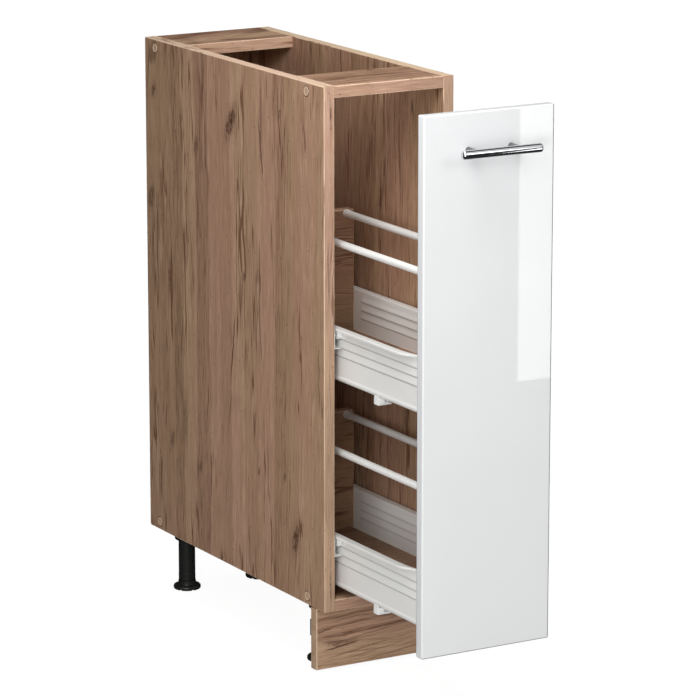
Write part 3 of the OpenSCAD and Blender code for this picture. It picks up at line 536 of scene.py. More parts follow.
def refinish(node, finish):
    """Gives a carried-over CAD node its finish."""
    for material_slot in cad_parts[node].material_slots:
        material_slot.material = finish


zinc = mottled_finish(
    "zinc_plate", ((420, 420, 420), 3, 0.6), (168, 171, 176), (206, 207, 208), 0.36,
    metallic=1.0, gloss=(0.2, 0.8, 0.28, 0.46),
)
beech = mottled_finish(
    "plain_beech", ((60, 900, 900), 3, 0.6), (196, 158, 112), (226, 196, 154), 0.6, specular=0.3
)
refinish("back_nails", zinc)
refinish("carcass_screws", zinc)
refinish("wood_dowels", beech)


# Screw caps: beige moulded discs pressed into the heads of the carcass screws.
# A slightly lowered ring round each is painted dark as shadow, and its raised rim is painted lighter as a
# highlight.
cap_finish = mottled_finish(
    "cap_beige", ((300, 300, 300), 2), (186, 152, 124), (206, 174, 146), 0.42, relief=(0.08, 0.0003)
)


def add_turned(bm, axis, centre, rings, finish=0, steps=48, shape=None):
    """A turned part. rings are (place along the axis, radius); shape(angle, place) scales a radius."""
    part = bmesh.new()
    a, b = [i for i in range(3) if i != axis]
    loops = []
    for along, radius in rings:
        loop = []
        for k in range(steps if radius > 0 else 1):
            angle = 2 * math.pi * k / steps
            r = radius * (shape(angle, along) if shape else 1)
            co = list(centre)
            co[axis] += along
            co[a] += r * math.cos(angle)
            co[b] += r * math.sin(angle)
            loop.append(part.verts.new(co))
        loops.append(loop)
    for first, second in zip(loops, loops[1:]):
        for k in range(steps):
            j = (k + 1) % steps
            if len(first) > 1 and len(second) > 1:
                part.faces.new((first[k], first[j], second[j], second[k]))
            elif len(first) > 1:
                part.faces.new((first[k], first[j], second[0]))
            elif len(second) > 1:
                part.faces.new((first[0], second[j], second[k]))
    add_part(bm, part, finish)


def spots(node):
    """The centre and the corners of each loose solid of a CAD node."""
    bm = bmesh.new()
    bm.from_mesh(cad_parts[node].data)
    bmesh.ops.remove_doubles(bm, verts=bm.verts[:], dist=0.00001)
    left = set(bm.verts)
    found = []
    while left:
        chain = [left.pop()]
        group = []
        while chain:
            v = chain.pop()
            group.append(v.co.copy())
            for edge in v.link_edges:
                other = edge.other_vert(v)
                if other in left:
                    left.discard(other)
                    chain.append(other)
        low = [min(c[i] for c in group) for i in range(3)]
        high = [max(c[i] for c in group) for i in range(3)]
        found.append((middle(low, high), low, high))
    bm.free()
    return sorted(found)


# The ring round each cap is painted dark as shadow; the rim is painted lighter as a highlight.
cap_painted_shadow_finish = mottled_finish("cap_painted_shadow_ring", ((500, 500, 500), 2), (52, 35, 25), (76, 54, 40), 0.7, specular=0.2)
cap_painted_highlight_finish = mottled_finish("cap_painted_highlight_rim", ((300, 300, 300), 2), (212, 182, 156), (232, 206, 182), 0.3)
cap_rise = 0.0008
cap_painted_shadow_ring = ((0, 0.0075), (0.10, 0.0075), (0.10, 0.0058))
cap_painted_highlight_rim = ((0.10, 0.0063), (0.75, 0.0063), (1.0, 0.0059), (1.0, 0.0054), (0.7, 0.0050))
cap_disc = ((0.7, 0.0050), (0.45, 0.0044), (0.40, 0))
bm = bmesh.new()
for centre, low, high in spots("screw_caps"):
    out = 1 if centre[0] > 0 else -1
    face = high[0] - cap_rise if out > 0 else low[0] + cap_rise
    for rings, finish in ((cap_painted_shadow_ring, 1), (cap_painted_highlight_rim, 2), (cap_disc, 0)):
        rings = [(out * cap_rise * t, r) for t, r in rings]
        add_turned(bm, 0, [face, centre[1], centre[2]], rings, finish, 40)
make_piece("caps", bm, [cap_finish, cap_painted_shadow_finish, cap_painted_highlight_finish], "carcass", "screw_caps", 50)


# Legs: a black moulded socket pegged into the underside of the bottom panel, a round tube in its
# collar, and a wide foot with grip notches that screws in and out of the tube.
black_plastic = mottled_finish(
    "black_moulding", ((1100, 1100, 1100), 3, 0.6), (24, 25, 24), (44, 45, 43), 0.38, specular=0.4,
    gloss=(0.3, 0.7, 0.32, 0.5), relief=(0.2, 0.0003),
)
mm = 0.001
socket_rings = (
    (0, 0), (0, 19.7), (0.4, 20), (3.4, 20), (4, 19.4), (4.2, 17.6), (5.2, 17), (15.2, 16.8),
    (16.2, 17), (17.6, 17), (18, 16.6), (18, 12.55), (12, 12.45),
)
foot_rings = (
    (0, 0), (0, 18), (0.4, 19), (1.4, 19.8), (2.8, 20), (3.4, 20), (3.45, 20), (4.4, 19.9), (5.6, 19.2),
    (6.3, 18.2), (6.6, 16.8), (6.7, 14.2), (7, 13.4), (7.8, 13), (12.8, 12.8), (13, 12.6), (13, 9.8),
    (13.4, 9.5), (55, 9.5), (55, 0),
)
collar_r, collar_ribs, rib_half = 0.0168, 8, 0.0007
rib_top, rib_low = 0.003, 0.0165
foot_notches = 6
notch_top = 0.0034
notch_cut, notch_half, notch_slope = 0.38, 0.085, 0.02


def notched(angle, along):
    """The radius of a foot, cut back under the rim at its grip notches."""
    if along > notch_top:
        return 1.0
    turn = (angle * foot_notches / (2 * math.pi)) % 1.0
    return 1.0 - notch_cut * min(1.0, max(0.0, (notch_half - abs(turn - 0.5)) / notch_slope))


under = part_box("bottom_panel")[0][2]
for spot in ("front_left", "front_right", "rear_left", "rear_right"):
    lo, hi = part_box("leg_tube_" + spot)
    axis = middle(lo, hi)[:2] + [0]
    tube_r = (hi[0] - lo[0]) / 2
    low = lo[2]
    bm = bmesh.new()
    add_turned(bm, 2, axis, [(under - drop * mm, r * mm) for drop, r in socket_rings])
    for k in range(collar_ribs):
        angle = 2 * math.pi * (k + 0.5) / collar_ribs
        x = axis[0] + collar_r * math.cos(angle)
        y = axis[1] + collar_r * math.sin(angle)
        add_block(bm, (x - rib_half, y - rib_half, under - rib_low),
                  (x + rib_half, y + rib_half, under - rib_top), 0.0003)
    make_piece("socket_" + spot, bm, [black_plastic], "carcass", "leg_socket_" + spot)

    bm = bmesh.new()
    add_turned(bm, 2, axis, [
        (under - 0.004, tube_r - 0.0002), (low + 0.014, tube_r - 0.0002), (low + 0.0134, tube_r - 0.0006),
        (low + 0.0124, tube_r - 0.0006), (low + 0.0118, tube_r - 0.0001), (low + 0.0006, tube_r - 0.0001),
        (low, tube_r - 0.0007), (low, tube_r - 0.0021), (low + 0.004, tube_r - 0.0023),
        (under - 0.008, tube_r - 0.0023), (under - 0.0045, tube_r - 0.0026), (under - 0.0045, 0),
    ])
    make_piece("tube_" + spot, bm, [black_plastic], "carcass", "leg_tube_" + spot)

    bm = bmesh.new()
    add_turned(bm, 2, axis, [(z * mm, r * mm) for z, r in foot_rings], steps=180, shape=notched)
    make_piece("foot_" + spot, bm, [black_plastic], "foot_" + spot, "leg_foot_" + spot, 28)


# Plinth: a board with its grain lying, the foil run round its ends, clipped to the front legs.
# Each clip is a black moulding screwed to the back of the board, with two jaws that grip the tube.
plinth_splits = (
    (0.0350, -0.059, 0.0014, 0.036, 0.95, -3.6),
    (0.0600, -0.088, 0.0012, 0.014, 0.80, -1.8),
    (0.0270, -0.030, 0.0011, 0.060, 0.55, -7.0),
    (0.0205, -0.010, 0.0010, 0.055, 0.50, -7.0),
    (0.0140, 0.020, 0.0010, 0.055, 0.50, -6.5),
    (0.0470, -0.015, 0.0011, 0.045, 0.50, -4.0),
    (0.0540, 0.010, 0.0010, 0.050, 0.40, -2.5),
)
plinth_knots = ((0.040, -0.068, 0.006, 0.02, 0.6, 0.4),)
plinth_decor = oak_finish(
    "plinth_decor", "ZYX", (0.55, 0.1, 2.25), planks=0.15, arcs=1.5, cracks=0.6, tone=0.60,
    knots=plinth_knots, splits=plinth_splits,
)
cut_board("plinth", "plinth_board", 1, [plinth_decor, band_upright, band_across, band_arris_highlight],
          "plinth", edge_finishes=(1, 1, 2, 2))
clip_plate, clip_half, clip_neck, clip_wall = 0.0028, 0.022, 0.006, 0.0016
jaw_play, jaw_inset = 0.0003, 0.0004
web_half, web_t = 0.010, 0.0014
lo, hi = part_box("plinth_clips")
bm = bmesh.new()
for side in ("left", "right"):
    low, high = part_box("leg_tube_front_" + side)
    axis = middle(low, high)
    jaw = (high[0] - low[0]) / 2 + jaw_play
    back = axis[1] - jaw
    plate_x = lo[0] + clip_half if side == "left" else hi[0] - clip_half
    add_block(bm, (plate_x - clip_half, lo[1], lo[2]),
              (plate_x + clip_half, lo[1] + clip_plate, hi[2]), 0.0006)
    add_block(bm, (axis[0] - clip_neck, lo[1] + 0.001, lo[2] + 0.001),
              (axis[0] + clip_neck, back - 0.0004, hi[2] - 0.001), 0.0008)
    tip = hi[1] - axis[1] - jaw_inset
    outline = []
    for radius, start, end in ((jaw + clip_wall, 0, -180), (jaw, -180, 0)):
        bow = arc(0, 0, radius, start, end, 12)
        outline += [(bow[0][0], tip)] + bow + [(bow[-1][0], tip)]
    bottom, top = lo[2] + jaw_inset, hi[2] - jaw_inset
    add_bar(bm, outline, lambda p, t: (axis[0] + p[0], axis[1] + p[1], t), bottom, top)
    for z in (bottom, top - web_t):
        add_block(bm, (axis[0] - web_half, lo[1] + 0.001, z),
                  (axis[0] + web_half, back - 0.0006, z + web_t), 0.0004)
make_piece("plinth_grips", bm, [black_plastic], "plinth", "plinth_clips")


# Pan-head screws: zinc plated, with a cross recess. They hold clips, runners, brackets and boards.
# A head is domed and stands on its seat; the shank ends in a short point.
head_rings = (
    (0, 0.96), (0.18, 1), (0.45, 0.97), (0.75, 0.80), (0.95, 0.50), (1.0, 0.42), (0.55, 0.12), (0.5, 0),
)
shank_r, point_r = 0.0017, 0.0003


def fix_screws(name, node, body, way=None, radius=0.0035, height=0.0014):
    """The screws of one CAD node, drawn with their heads. They face backwards, unless
    way(centre, low, high) gives a screw's axis and 1 or -1 for the direction that its head faces."""

    def recess(angle, along):
        return 1 if abs(along) < height * 0.97 else 0.72 + 0.28 * abs(math.cos(2 * angle))

    bm = bmesh.new()
    for centre, low, high in spots(node):
        axis, out = way(centre, low, high) if way else (1, 1)
        top, tip = (high[axis], low[axis]) if out > 0 else (low[axis], high[axis])
        seat = list(centre)
        seat[axis] = top - out * height
        add_turned(bm, axis, seat, [(out * height * t, radius * r) for t, r in head_rings], 0, 32, recess)
        end = tip - seat[axis]
        add_turned(bm, axis, seat, [(0, shank_r), (end * 0.8, shank_r), (end, point_r)], 0, 16)
    make_piece(name, bm, [zinc], body, node, 40)


fix_screws("plinth_clip_screws", "plinth_screws", "plinth")


# Runners: white coated steel channels screwed to the side panels, one pair for each drawer.
# A roller turns on a riveted pin at the front, where the flange of the drawer side rolls on it.
def coat_group():
    """Powder coat: a fine orange peel, with faint handling marks."""
    tree, given, result = group_start(
        "powder_coat",
        [
            ("Place", "Vector", None),
            ("Plain", "Color", srgb(228, 228, 224)),
            ("Worn", "Color", srgb(210, 209, 204)),
        ],
        [("Color", "Color"), ("Roughness", "Float"), ("Height", "Float")],
    )
    haze = cloud(tree, given["Place"], (14, 5, 14), 4, 0.6, shift=(3, 0, 0))
    fill(tree, result, {
        "Color": blend_colour(tree, ease(tree, haze, 0.35, 0.8), given["Plain"], given["Worn"]),
        "Roughness": ease(tree, haze, 0.3, 0.75, 0.30, 0.42),
        "Height": cloud(tree, given["Place"], (750, 750, 750)),
    })
    return tree


powder_coat = coat_group()


def coated_finish(name, plain, worn):
    finish, tree, shader = new_finish(name)
    inputs = {"Place": here(tree), "Plain": srgb(*plain), "Worn": srgb(*worn)}
    coat = new_node(tree, "Group", inputs, node_tree=powder_coat).outputs
    fill(tree, shader, {"Base Color": coat["Color"], "Roughness": coat["Roughness"]})
    add_bump(tree, shader, coat["Height"], 0.12, 0.0002)
    return finish


corners = ("lower_left", "lower_right", "upper_left", "upper_right")
runner_coat = coated_finish("runner_coat", (226, 226, 222), (206, 205, 200))
for corner in corners:
    refinish("runner_" + corner, runner_coat)
fix_screws("runner_mount_screws", "runner_screws", "carcass",
           lambda centre, low, high: (0, -1 if centre[0] > 0 else 1))
refinish("front_roller_pins", zinc)
refinish("rear_roller_pins", zinc)


# Rollers: white nylon wheels with a rounded tread and a recess for the pin's head.
# The front ones stay on the cabinet profile and the rear ones travel with the drawer sides.
white_moulding = mottled_finish(
    "white_moulding", ((160, 160, 60), 3), (247, 247, 245), (253, 253, 251), 0.4,
    gloss=(0.3, 0.7, 0.34, 0.46), relief=(0.05, 0.0003),
)
tree = white_moulding.node_tree
nylon_glow = {"Subsurface Weight": 0.05, "Subsurface Radius": (0.002, 0.002, 0.0018)}
fill(tree, tree.nodes["Principled BSDF"], nylon_glow)
bore_r = 0.0021
plain_bore = [(0.0, bore_r)]
head_bore = [(0.0015, bore_r), (0.0015, 0.0033), (0.0002, 0.0034), (0.0, 0.0036)]
for corner in corners:
    for end, body, near, far in (
        ("front", "carcass_roller_", head_bore, plain_bore),
        ("rear", "drawer_roller_", plain_bore, head_bore),
    ):
        node = end + "_roller_" + corner
        lo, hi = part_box(node)
        radius = (hi[2] - lo[2]) / 2
        width = hi[0] - lo[0]
        inner, away = (lo[0], 1) if corner.endswith("right") else (hi[0], -1)
        tread = [
            (0.0, radius - 0.0026), (0.0003, radius - 0.0023), (0.0003, radius - 0.0011),
            (0.0001, radius - 0.0008), (0.0004, radius - 0.0002), (0.0010, radius),
        ]
        rings = near + tread + [(width - t, r) for t, r in reversed(far + tread)] + near[:1]
        bm = bmesh.new()
        centre = [inner] + middle(lo, hi)[1:]
        add_turned(bm, 0, centre, [(away * t, r) for t, r in rings], steps=64)
        make_piece("wheel_%s_%s" % (end, corner), bm, [white_moulding], body + corner,
                   node)


# Drawer sides: one bent and pressed sheet of white coated steel each. The top is flanged outwards
# and hemmed, three louvred ribs stiffen the web, a rolled hem runs along the foot, and the top
# edge sweeps up to the door.
sheet_t = 0.0012
side_height = 0.076
rise_height, rise_length = 0.008, 0.098
flange_reach, lip_drop = 0.010, 0.003
flange_ends, flange_starts, flange_least = 0.040, 0.080, 0.0026
foot_flange, foot_bend = 0.016, 0.010
hem_radius, hem_bulge, inner_hem = 0.005, 0.0012, 0.002
rib_feet = (0.060, 0.048, 0.036)
rib_height, rib_depth, rib_proud = 0.009, 0.0012, 0.0010
rib_start, rib_end, rib_run_out = 0.040, 0.430, 0.010
slot_drop, slot_half, slot_deep = 0.0004, 0.0012, 0.0007
hem_rows = 11


def smooth(t):
    t = min(1.0, max(0.0, t))
    return t * t * (3 - 2 * t)


def side_top(y):
    return side_height + rise_height * max(0.0, 1 - y / rise_length) ** 2


def side_reach(y):
    """The flange's width, which runs out before the door."""
    t = smooth((y - flange_ends) / (flange_starts - flange_ends))
    return flange_least + (flange_reach - flange_least) * t


def rib_fade(y):
    return smooth((y - rib_start) / rib_run_out) * smooth((rib_end - y) / rib_run_out)


def rib_push(y, z, step):
    """How far a louvre stands off the web at this place: it grows downwards and ends in a step."""
    push = 0.0
    for foot in rib_feet:
        t = (z - foot) / rib_height
        if 0 <= t <= step:
            push = smooth(t / step)
        elif step < t <= 1:
            push = 1 - smooth((t - step) / (1 - step))
    return rib_fade(y) * push


def slot_depth(y, z):
    """Depth of the narrow fold under each louvre's step."""
    off = min(abs(z - foot + slot_drop) for foot in rib_feet)
    return slot_deep * max(0.0, 1 - off / slot_half) * rib_fade(y)


def web_heights(top):
    """Heights of the web's rows, close together where the louvres step."""
    rows = [0.0095, 0.013, 0.018, 0.024, 0.030, 0.034]
    steps = (-0.0016, -0.0010, -0.0004, 0, 0.0005, 0.0010, 0.0016, 0.003, 0.005, 0.007, 0.0085, 0.0096)
    for foot in rib_feet:
        rows += [foot + step for step in steps]
    rows = sorted(set(round(r, 6) for r in rows))
    rows = [r for i, r in enumerate(rows) if i == 0 or r - rows[i - 1] > 0.0002]
    return [r for r in rows if r < 0.0712] + [0.0725 + (top - side_height)]


def flange(web, far, top, bend):
    """The top of a skin: bent outwards, and down again at its lip."""
    return arc(web + bend, top - bend, bend, 180, 90, 4) + arc(far - bend, top - bend, bend, 90, 0, 4)


def outer_path(y, out):
    """Cross-section of the skin that faces the cabinet wall and the floor, from foot flange to lip."""
    top, reach = side_top(y), side_reach(y)
    path = [(out - foot_flange, 0.0), (out - foot_bend, 0.0)]
    path += arc(out + hem_bulge - hem_radius, hem_radius, hem_radius, -90, 40, 8)
    path += [(out + rib_proud * rib_push(y, z, 0.10) - slot_depth(y, z), z) for z in web_heights(top)]
    far = out + reach - sheet_t
    path += flange(out, far, top - sheet_t, min(0.0006, (reach - sheet_t) * 0.45))
    return path + [(far, top - lip_drop)]


def inner_path(y, out):
    """Cross-section of the other skin, with the louvres standing into the drawer."""
    top, inside = side_top(y), out - sheet_t
    path = [(out - foot_flange, sheet_t), (out - foot_bend, sheet_t)]
    path += arc(inside - inner_hem, sheet_t + inner_hem, inner_hem, -90, 0, 8)
    path += [(inside - rib_depth * rib_push(y, z, 0.12), z) for z in web_heights(top)]
    far = out + side_reach(y)
    return path + flange(inside, far, top, 0.0014) + [(far, top - lip_drop)]


def bent_side(name, node, finishes):
    lo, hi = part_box(node)
    mirror = 1 if hi[0] > 0 else -1
    out = (hi[0] if hi[0] > 0 else -lo[0]) - flange_reach
    stations = [0, 0.006, 0.014, 0.024, 0.034, 0.040, 0.0425, 0.045, 0.0475, 0.050, 0.054, 0.058, 0.063]
    stations += [0.068, 0.072, 0.076, 0.080, 0.092, 0.104]
    stations += [0.120 + 0.03 * k for k in range(10)]
    stations += [0.414, 0.420, 0.4225, 0.425, 0.4275, 0.430, 0.436, 0.448, hi[1] - lo[1]]
    bm = bmesh.new()
    outer, inner = [
        [[bm.verts.new((mirror * x, lo[1] + y, lo[2] + z)) for x, z in path_at(y, out)] for y in stations]
        for path_at in (outer_path, inner_path)
    ]
    rows, columns = len(stations), len(outer[0])
    heights = [z for x, z in outer_path(stations[-1], out)]

    def folded(below, above):
        """The faces next to each louvre's foot, as row and column numbers."""
        return {
            (i, j)
            for i in range(rows - 1) if rib_fade(stations[i]) + rib_fade(stations[i + 1]) > 0.6
            for j in range(hem_rows, columns - hem_rows)
            if any(foot - below < (heights[j] + heights[j + 1]) / 2 < foot + above for foot in rib_feet)
        }

    # The faces along each louvre's foot get a darker coat: painted shade in the fold.
    folds, inner_folds = folded(0.0014, 0.0006), folded(0.0011, 0.0003)
    for i in range(rows - 1):
        for j in range(columns - 1):
            face = bm.faces.new((outer[i][j], outer[i + 1][j], outer[i + 1][j + 1], outer[i][j + 1]))
            face.material_index = 1 if (i, j) in folds else 0
            face = bm.faces.new((inner[i][j], inner[i][j + 1], inner[i + 1][j + 1], inner[i + 1][j]))
            face.material_index = 1 if (i, j) in inner_folds else 0
        for j in (0, columns - 1):
            bm.faces.new((outer[i][j], inner[i][j], inner[i + 1][j], outer[i + 1][j]))
    for i in (0, rows - 1):
        for j in range(columns - 1):
            bm.faces.new((outer[i][j], outer[i][j + 1], inner[i][j + 1], inner[i][j]))
    bmesh.ops.recalc_face_normals(bm, faces=bm.faces[:])
    make_piece(name, bm, finishes, "pull_out", node, 24)


side_coat = coated_finish("side_coat", (246, 246, 243), (239, 238, 235))
# This darker coat is painted shade for the folds under the louvres.
fold_painted_shade = coated_finish("fold_painted_shade", (212, 211, 208), (202, 201, 198))
for corner in corners:
    bent_side("drawer_side_" + corner, "steel_side_" + corner, [side_coat, fold_painted_shade])


# Drawer boards: a bottom and a tall back of the decor board in each drawer, grain across.
# The bottom lies on the foot flanges; the back stands on it with a pale band along its top.
inside_tones = tones((104, 77, 60), (146, 114, 92), (170, 138, 114))
floor_decor = oak_finish("drawer_floor_decor", "YZX", (2.9, 0.0, 0.2), inside_tones, 0.5, 1.1, 0.6)
rear_tones = tones((116, 91, 73), (166, 137, 113), (190, 162, 138))
rear_decor = oak_finish("drawer_back_decor", "ZYX", (5.1, 0.0, 0.7), rear_tones, 0.3, 0.6, 0.2, 0.3)
for level in ("lower", "upper"):
    for name, node, thin, decor in (
        ("drawer_floor_", "drawer_bottom_", 2, floor_decor),
        ("drawer_rear_", "drawer_back_", 1, rear_decor),
    ):
        cut_board(name + level, node + level, thin, [decor, band_across, band_arris_highlight],
                  "pull_out")


# Railings: white coated tubes above the drawer sides, pushed into moulded cups on door and back.
# A cup narrows from its collar to its mouth.
railing_coat = coated_finish("railing_coat", (248, 248, 245), (240, 239, 235))
tube_edge, tube_wall = 0.0002, 0.001
for corner in corners:
    node = "railing_" + corner
    lo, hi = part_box(node)
    x, y, z = middle(lo, hi)
    radius = (hi[2] - lo[2]) / 2
    length = hi[1] - lo[1]
    bm = bmesh.new()
    add_turned(bm, 1, [x, lo[1], z], [
        (0, radius - tube_wall), (0, radius - tube_edge), (tube_edge, radius), (length / 3, radius),
        (length * 2 / 3, radius), (length - tube_edge, radius), (length, radius - tube_edge),
        (length, radius - tube_wall), (0, radius - tube_wall),
    ])
    make_piece("rail_" + corner, bm, [railing_coat], "pull_out", node)
bm = bmesh.new()
for centre, low, high in spots("railing_holders"):
    radius = (high[0] - low[0]) / 2
    depth = high[1] - low[1]
    foot, turn = (low[1], 1) if low[1] < -0.3 else (high[1], -1)
    rings = [
        (0, 0), (0, radius - 0.0008), (0.0008, radius - 0.0006), (0.0012, radius - 0.0007),
        (0.0016, radius - 0.0009), (depth - 0.0018, radius - 0.0010), (depth - 0.0005, radius - 0.0011),
        (depth, radius - 0.0013), (depth, 0.00508), (0.002, 0.00506), (0.002, 0),
    ]
    add_turned(bm, 1, [centre[0], foot, centre[2]], [(turn * t, r) for t, r in rings])
make_piece("rail_cups", bm, [white_moulding], "pull_out", "railing_holders")


# Front brackets: bent steel angles, screwed to the door and standing inside the drawer sides.
# Their small screws are those of the drawer, drawn together with the screws of its boards.
plate_t, bend = 0.0015, 0.003
bm = bmesh.new()
for centre, low, high in spots("front_brackets"):
    near, far, inward = (high[0], low[0], -1) if centre[0] > 0 else (low[0], high[0], 1)
    elbow = (near + inward * bend, low[1] + bend)
    turned = -90 - 90 * inward
    outline = [(far, low[1])] + arc(*elbow, bend, -90, turned, 5)
    outline += [(near, high[1]), (near + inward * plate_t, high[1])]
    outline += arc(*elbow, bend - plate_t, turned, -90, 5) + [(far, low[1] + plate_t)]
    add_bar(bm, outline, lambda p, t: (p[0], p[1], t), low[2], high[2])
brackets = make_piece("door_brackets", bm, [side_coat], "pull_out", "front_brackets")
bevel = brackets.modifiers.new("burr_off", "BEVEL")
bevel.width = 0.0003
bevel.segments = 2
bevel.limit_method = "ANGLE"


def drawer_screw_way(centre, low, high):
    """A drawer screw lies along its longest side, with its head outwards, backwards or down."""
    spans = [q - p for p, q in zip(low, high)]
    axis = spans.index(max(spans))
    return axis, (1 if centre[0] > 0 else -1, 1, -1)[axis]


fix_screws("drawer_fixings", "drawer_screws", "pull_out", drawer_screw_way)


# Side clips: white moulded blocks under the drawer sides, each with a hook over the hem and a thin
# foot that reaches inwards and rides over the bottom panel.
bm = bmesh.new()
for centre, low, high in spots("side_clips"):
    sign = 1 if centre[0] > 0 else -1
    inner, outer = sorted((sign * low[0], sign * high[0]))
    front, back, base = low[1], high[1], low[2]
    # Body, hook over the hem, foot, and the rib that stands on the foot.
    for x0, x1, y0, y1, z0, z1, rounding in (
        (outer - 0.0102, outer, front, back, base, base + 0.0094, 0.0006),
        (outer - 0.0019, outer - 0.0001, front + 0.0004, back - 0.0004, base + 0.004, high[2], 0.0005),
        (inner, outer - 0.002, front, back, base, base + 0.0025, 0.0005),
        (inner + 0.001, outer - 0.009, front + 0.0052, front + 0.0068, base + 0.001, base + 0.0075, 0.0004),
    ):
        left, right = sorted((sign * x0, sign * x1))
        add_block(bm, (left, y0, z0), (right, y1, z1), rounding)
make_piece("hem_clips", bm, [white_moulding], "pull_out", "side_clips")


# Door: a 16 mm board in white high gloss, its front and edges in one foil rounded over, with a thin
# dark line along some edges that paints shade and a dark reflection, and a plain white melamine back.
door_gloss, tree, shader = new_finish("door_gloss", 0.03)
swell = cloud(tree, here(tree), (7, 7, 7))
peel = cloud(tree, here(tree), (300, 300, 300))
colour = blend_colour(tree, swell, srgb(240, 241, 242), srgb(245, 246, 246))
fill(tree, shader, {"Base Color": colour, "Roughness": ease(tree, peel, 0.3, 0.7, 0.015, 0.03)})
add_bump(tree, shader, peel, 0.02, 0.0001)
door_back = mottled_finish(
    "door_back", ((520, 520, 520), 3, 0.6), (232, 232, 230), (241, 241, 239), 0.45, specular=0.4,
    gloss=(0.3, 0.7, 0.4, 0.52), relief=(0.12, 0.0002),
)
door_edge = mottled_finish(
    "door_edge", ((40, 40, 12), 2), (228, 229, 231), (234, 235, 236), 0.12, gloss=(0.3, 0.7, 0.096, 0.144)
)
door_painted_shade_edge = mottled_finish(
    "door_painted_shade_edge", ((40, 40, 12), 2), (136, 137, 138), (152, 153, 154), 0.3, gloss=(0.3, 0.7, 0.24, 0.36)
)
rounding, back_step, rim = 0.0022, 0.0004, 0.0016
lo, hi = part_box("door_panel")
bm = bmesh.new()
add_block(bm, lo, (hi[0], hi[1] - back_step, hi[2]), rounding, 0, 5)
bm.normal_update()
# The painted dark line, standing for shade and a dark reflection, shows all round the back, and on the
# front along its right and lower edges.
for face in bm.faces:
    x, y, z = face.calc_center_median()
    deep = y > hi[1] - back_step - rounding and face.normal[1] < 0.99
    turned = lo[1] + rounding > y and -0.995 < face.normal[1] < -0.05
    low_edge = z < lo[2] + rounding and face.normal[2] < -0.35
    if deep or (turned and (x > hi[0] - rounding or low_edge)):
        face.material_index = 3
    elif abs(face.normal[0]) > 0.99:
        face.material_index = 2
add_block(bm, (lo[0] + rim, hi[1] - 0.0012, lo[2] + rim), (hi[0] - rim, hi[1], hi[2] - rim), 0.0003, 1)
make_piece("door_leaf", bm, [door_gloss, door_back, door_edge, door_painted_shade_edge],
           "pull_out", "door_panel", 40)


# Handle: a chromed steel bar with domed ends on two turned posts, held by screws through the door.
# The posts are brushed and darker than the bar.
chrome = mottled_finish(
    "chrome", ((60, 900, 900), 3, 0.6), (206, 208, 211), (222, 223, 225), 0.04,
    metallic=1.0, gloss=(0.3, 0.7, 0.03, 0.07),
)
post_steel = mottled_finish(
    "post_steel", ((700, 60, 700), 3, 0.6), (118, 120, 123), (142, 144, 147), 0.22,
    metallic=1.0, gloss=(0.3, 0.7, 0.16, 0.28),
)
dome = (
    (0.0, 0.0), (0.00005, 0.25), (0.0003, 0.5), (0.0008, 0.72), (0.0016, 0.88), (0.0026, 0.97),
    (0.0036, 1.0),
)
lo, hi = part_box("handle_bar")
bar_r = (hi[2] - lo[2]) / 2
bar_l = hi[0] - lo[0]
bar_y, bar_z = middle(lo, hi)[1:]
end_rings = [(t, bar_r * share) for t, share in dome]
rings = end_rings + [(bar_l / 2, bar_r)] + [(bar_l - t, r) for t, r in reversed(end_rings)]
bm = bmesh.new()
add_turned(bm, 0, [lo[0], bar_y, bar_z], rings, steps=72)
make_piece("pull_bar", bm, [chrome], "pull_out", "handle_bar", 40)
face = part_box("door_panel")[0][1]
post_r = 0.0045
post_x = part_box("handle_posts")[0][0] + post_r
reach = bar_y + bar_r * 0.75 - face
bm = bmesh.new()
for x in (post_x, -post_x):
    add_turned(bm, 1, [x, face, bar_z], [
        (0, 0), (0, post_r), (-0.0006, post_r), (-0.0016, 0.0043), (-0.004, 0.0040), (-0.012, 0.0039),
        (reach + 0.003, 0.0041), (reach, 0.0044), (reach - 0.0005, 0),
    ])
make_piece("pull_posts", bm, [post_steel], "pull_out", "handle_posts", 40)
fix_screws("pull_screws", "handle_screws", "pull_out", None, 0.004, 0.002)


# Studio: a plain white sweep that keeps the shadow under the feet, soft boxes, and the camera.
# The sweep is clear to the eye, so that feet screwed out below it still show.
def plain_shader(tree, kind, grey):
    return new_node(tree, kind, {"Color": (grey, grey, grey, 1)}).outputs[0]


def by_ray(tree, lit, in_gloss, seen):
    """What the object's light, its gloss and the camera each meet."""
    path = tree.nodes.new("ShaderNodeLightPath").outputs
    unseen = new_node(tree, "MixShader", {0: path["Is Glossy Ray"], 1: lit, 2: in_gloss}).outputs[0]
    direct = calc(tree, "MAXIMUM", path["Is Camera Ray"], path["Is Transmission Ray"])
    return new_node(tree, "MixShader", {0: direct, 1: unseen, 2: seen}).outputs[0]


white_sweep = bpy.data.materials.new("white_sweep")
white_sweep.use_nodes = True
tree = white_sweep.node_tree
tree.nodes.remove(tree.nodes["Principled BSDF"])
spread = new_node(tree, "VectorMath", {0: here(tree)}, operation="LENGTH")
far_off = ease(tree, spread.outputs["Value"], 0.9, 2.4)
glass = blend_colour(tree, far_off, (0.945, 0.945, 0.945, 1), (1, 1, 1, 1))
clear = new_node(tree, "BsdfTransparent", {"Color": glass}).outputs[0]
seen_card = new_node(tree, "AddShader", {0: plain_shader(tree, "BsdfDiffuse", 0.16), 1: clear}).outputs[0]
card = plain_shader(tree, "BsdfDiffuse", 0.62)
dim_card = plain_shader(tree, "BsdfDiffuse", 0.04)
fill(tree, tree.nodes["Material Output"], {"Surface": by_ray(tree, card, dim_card, seen_card)})
span = 14.0
mesh = bpy.data.meshes.new("sweep")
sweep_corners = [(-span, -span, 0), (span, -span, 0), (span, span, 0), (-span, span, 0)]
mesh.from_pydata(sweep_corners, [], [(0, 1, 2, 3)])
mesh.materials.append(white_sweep)
sweep = bpy.data.objects.new("sweep", mesh)
sweep.location = (0, 0, -0.0005)
bpy.context.scene.collection.objects.link(sweep)

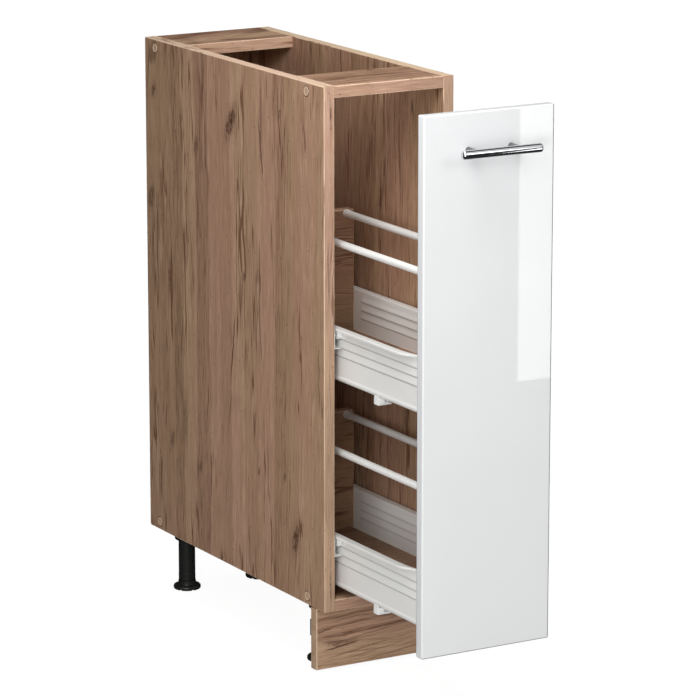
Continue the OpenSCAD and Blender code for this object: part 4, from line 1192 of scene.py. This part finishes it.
world = bpy.data.worlds.new("studio")
bpy.context.scene.world = world
world.use_nodes = True
tree = world.node_tree
base = tree.nodes["Background"]
fill(tree, base, {"Color": (1.0, 0.99, 0.975, 1), "Strength": 0.16})
sky = directions(tree, tree.nodes.new("ShaderNodeTexCoord").outputs["Generated"])
above = ease(tree, sky[2], 0.08, 0.34, 0.04, 1.0)
behind = ease(tree, sky[1], -0.20, 0.02, 1.0, 0.04)
mirror = new_node(tree, "Background", {"Strength": times(tree, above, behind)}).outputs[0]
surround = by_ray(tree, base.outputs[0], mirror, plain_shader(tree, "Background", 1))
fill(tree, tree.nodes["World Output"], {"Surface": surround})


def soft_box(name, place, aim, width, height, power):
    """A rectangular lamp turned towards a point."""
    lamp = bpy.data.lights.new(name, "AREA")
    lamp.shape = "RECTANGLE"
    lamp.size = width
    lamp.size_y = height
    lamp.energy = power
    holder = bpy.data.objects.new(name, lamp)
    holder.location = place
    holder.rotation_euler = (Vector(aim) - Vector(place)).to_track_quat("-Z", "Y").to_euler()
    bpy.context.scene.collection.objects.link(holder)


soft_box("left_box", (-1.6, -1.9, 0.7), (0, -0.2, 0.4), 0.9, 0.9, 21.5)
soft_box("high_left_box", (-1.35, -1.55, 1.75), (0, -0.1, 0.5), 0.9, 0.9, 12)
soft_box("near_box", (-0.35, -0.45, 1.35), (0, 0, 0.6), 0.4, 0.4, 4)
soft_box("front_box", (0.9, -2.6, 1.9), (0, -0.3, 0.5), 1.2, 0.8, 9.2)
soft_box("top_box", (0.2, 0.2, 2.6), (0, 0, 0.5), 1.2, 1.2, 15.5)
soft_box("door_box", (0.9265, -1.50, 0.425), (0.9265, 0, 0.425), 0.31, 0.60, 2.15)

camera = bpy.data.cameras.new("camera")
camera.sensor_width = 36
camera.lens = 202.58
camera.clip_end = 60
holder = bpy.data.objects.new("camera", camera)
holder.location = (-2.61804, -4.53154, 1.64262)
holder.rotation_euler = (math.radians(76.922), 0, math.radians(-30.043))
bpy.context.scene.collection.objects.link(holder)
bpy.context.scene.camera = holder
bpy.context.scene.view_settings.view_transform = "Standard"
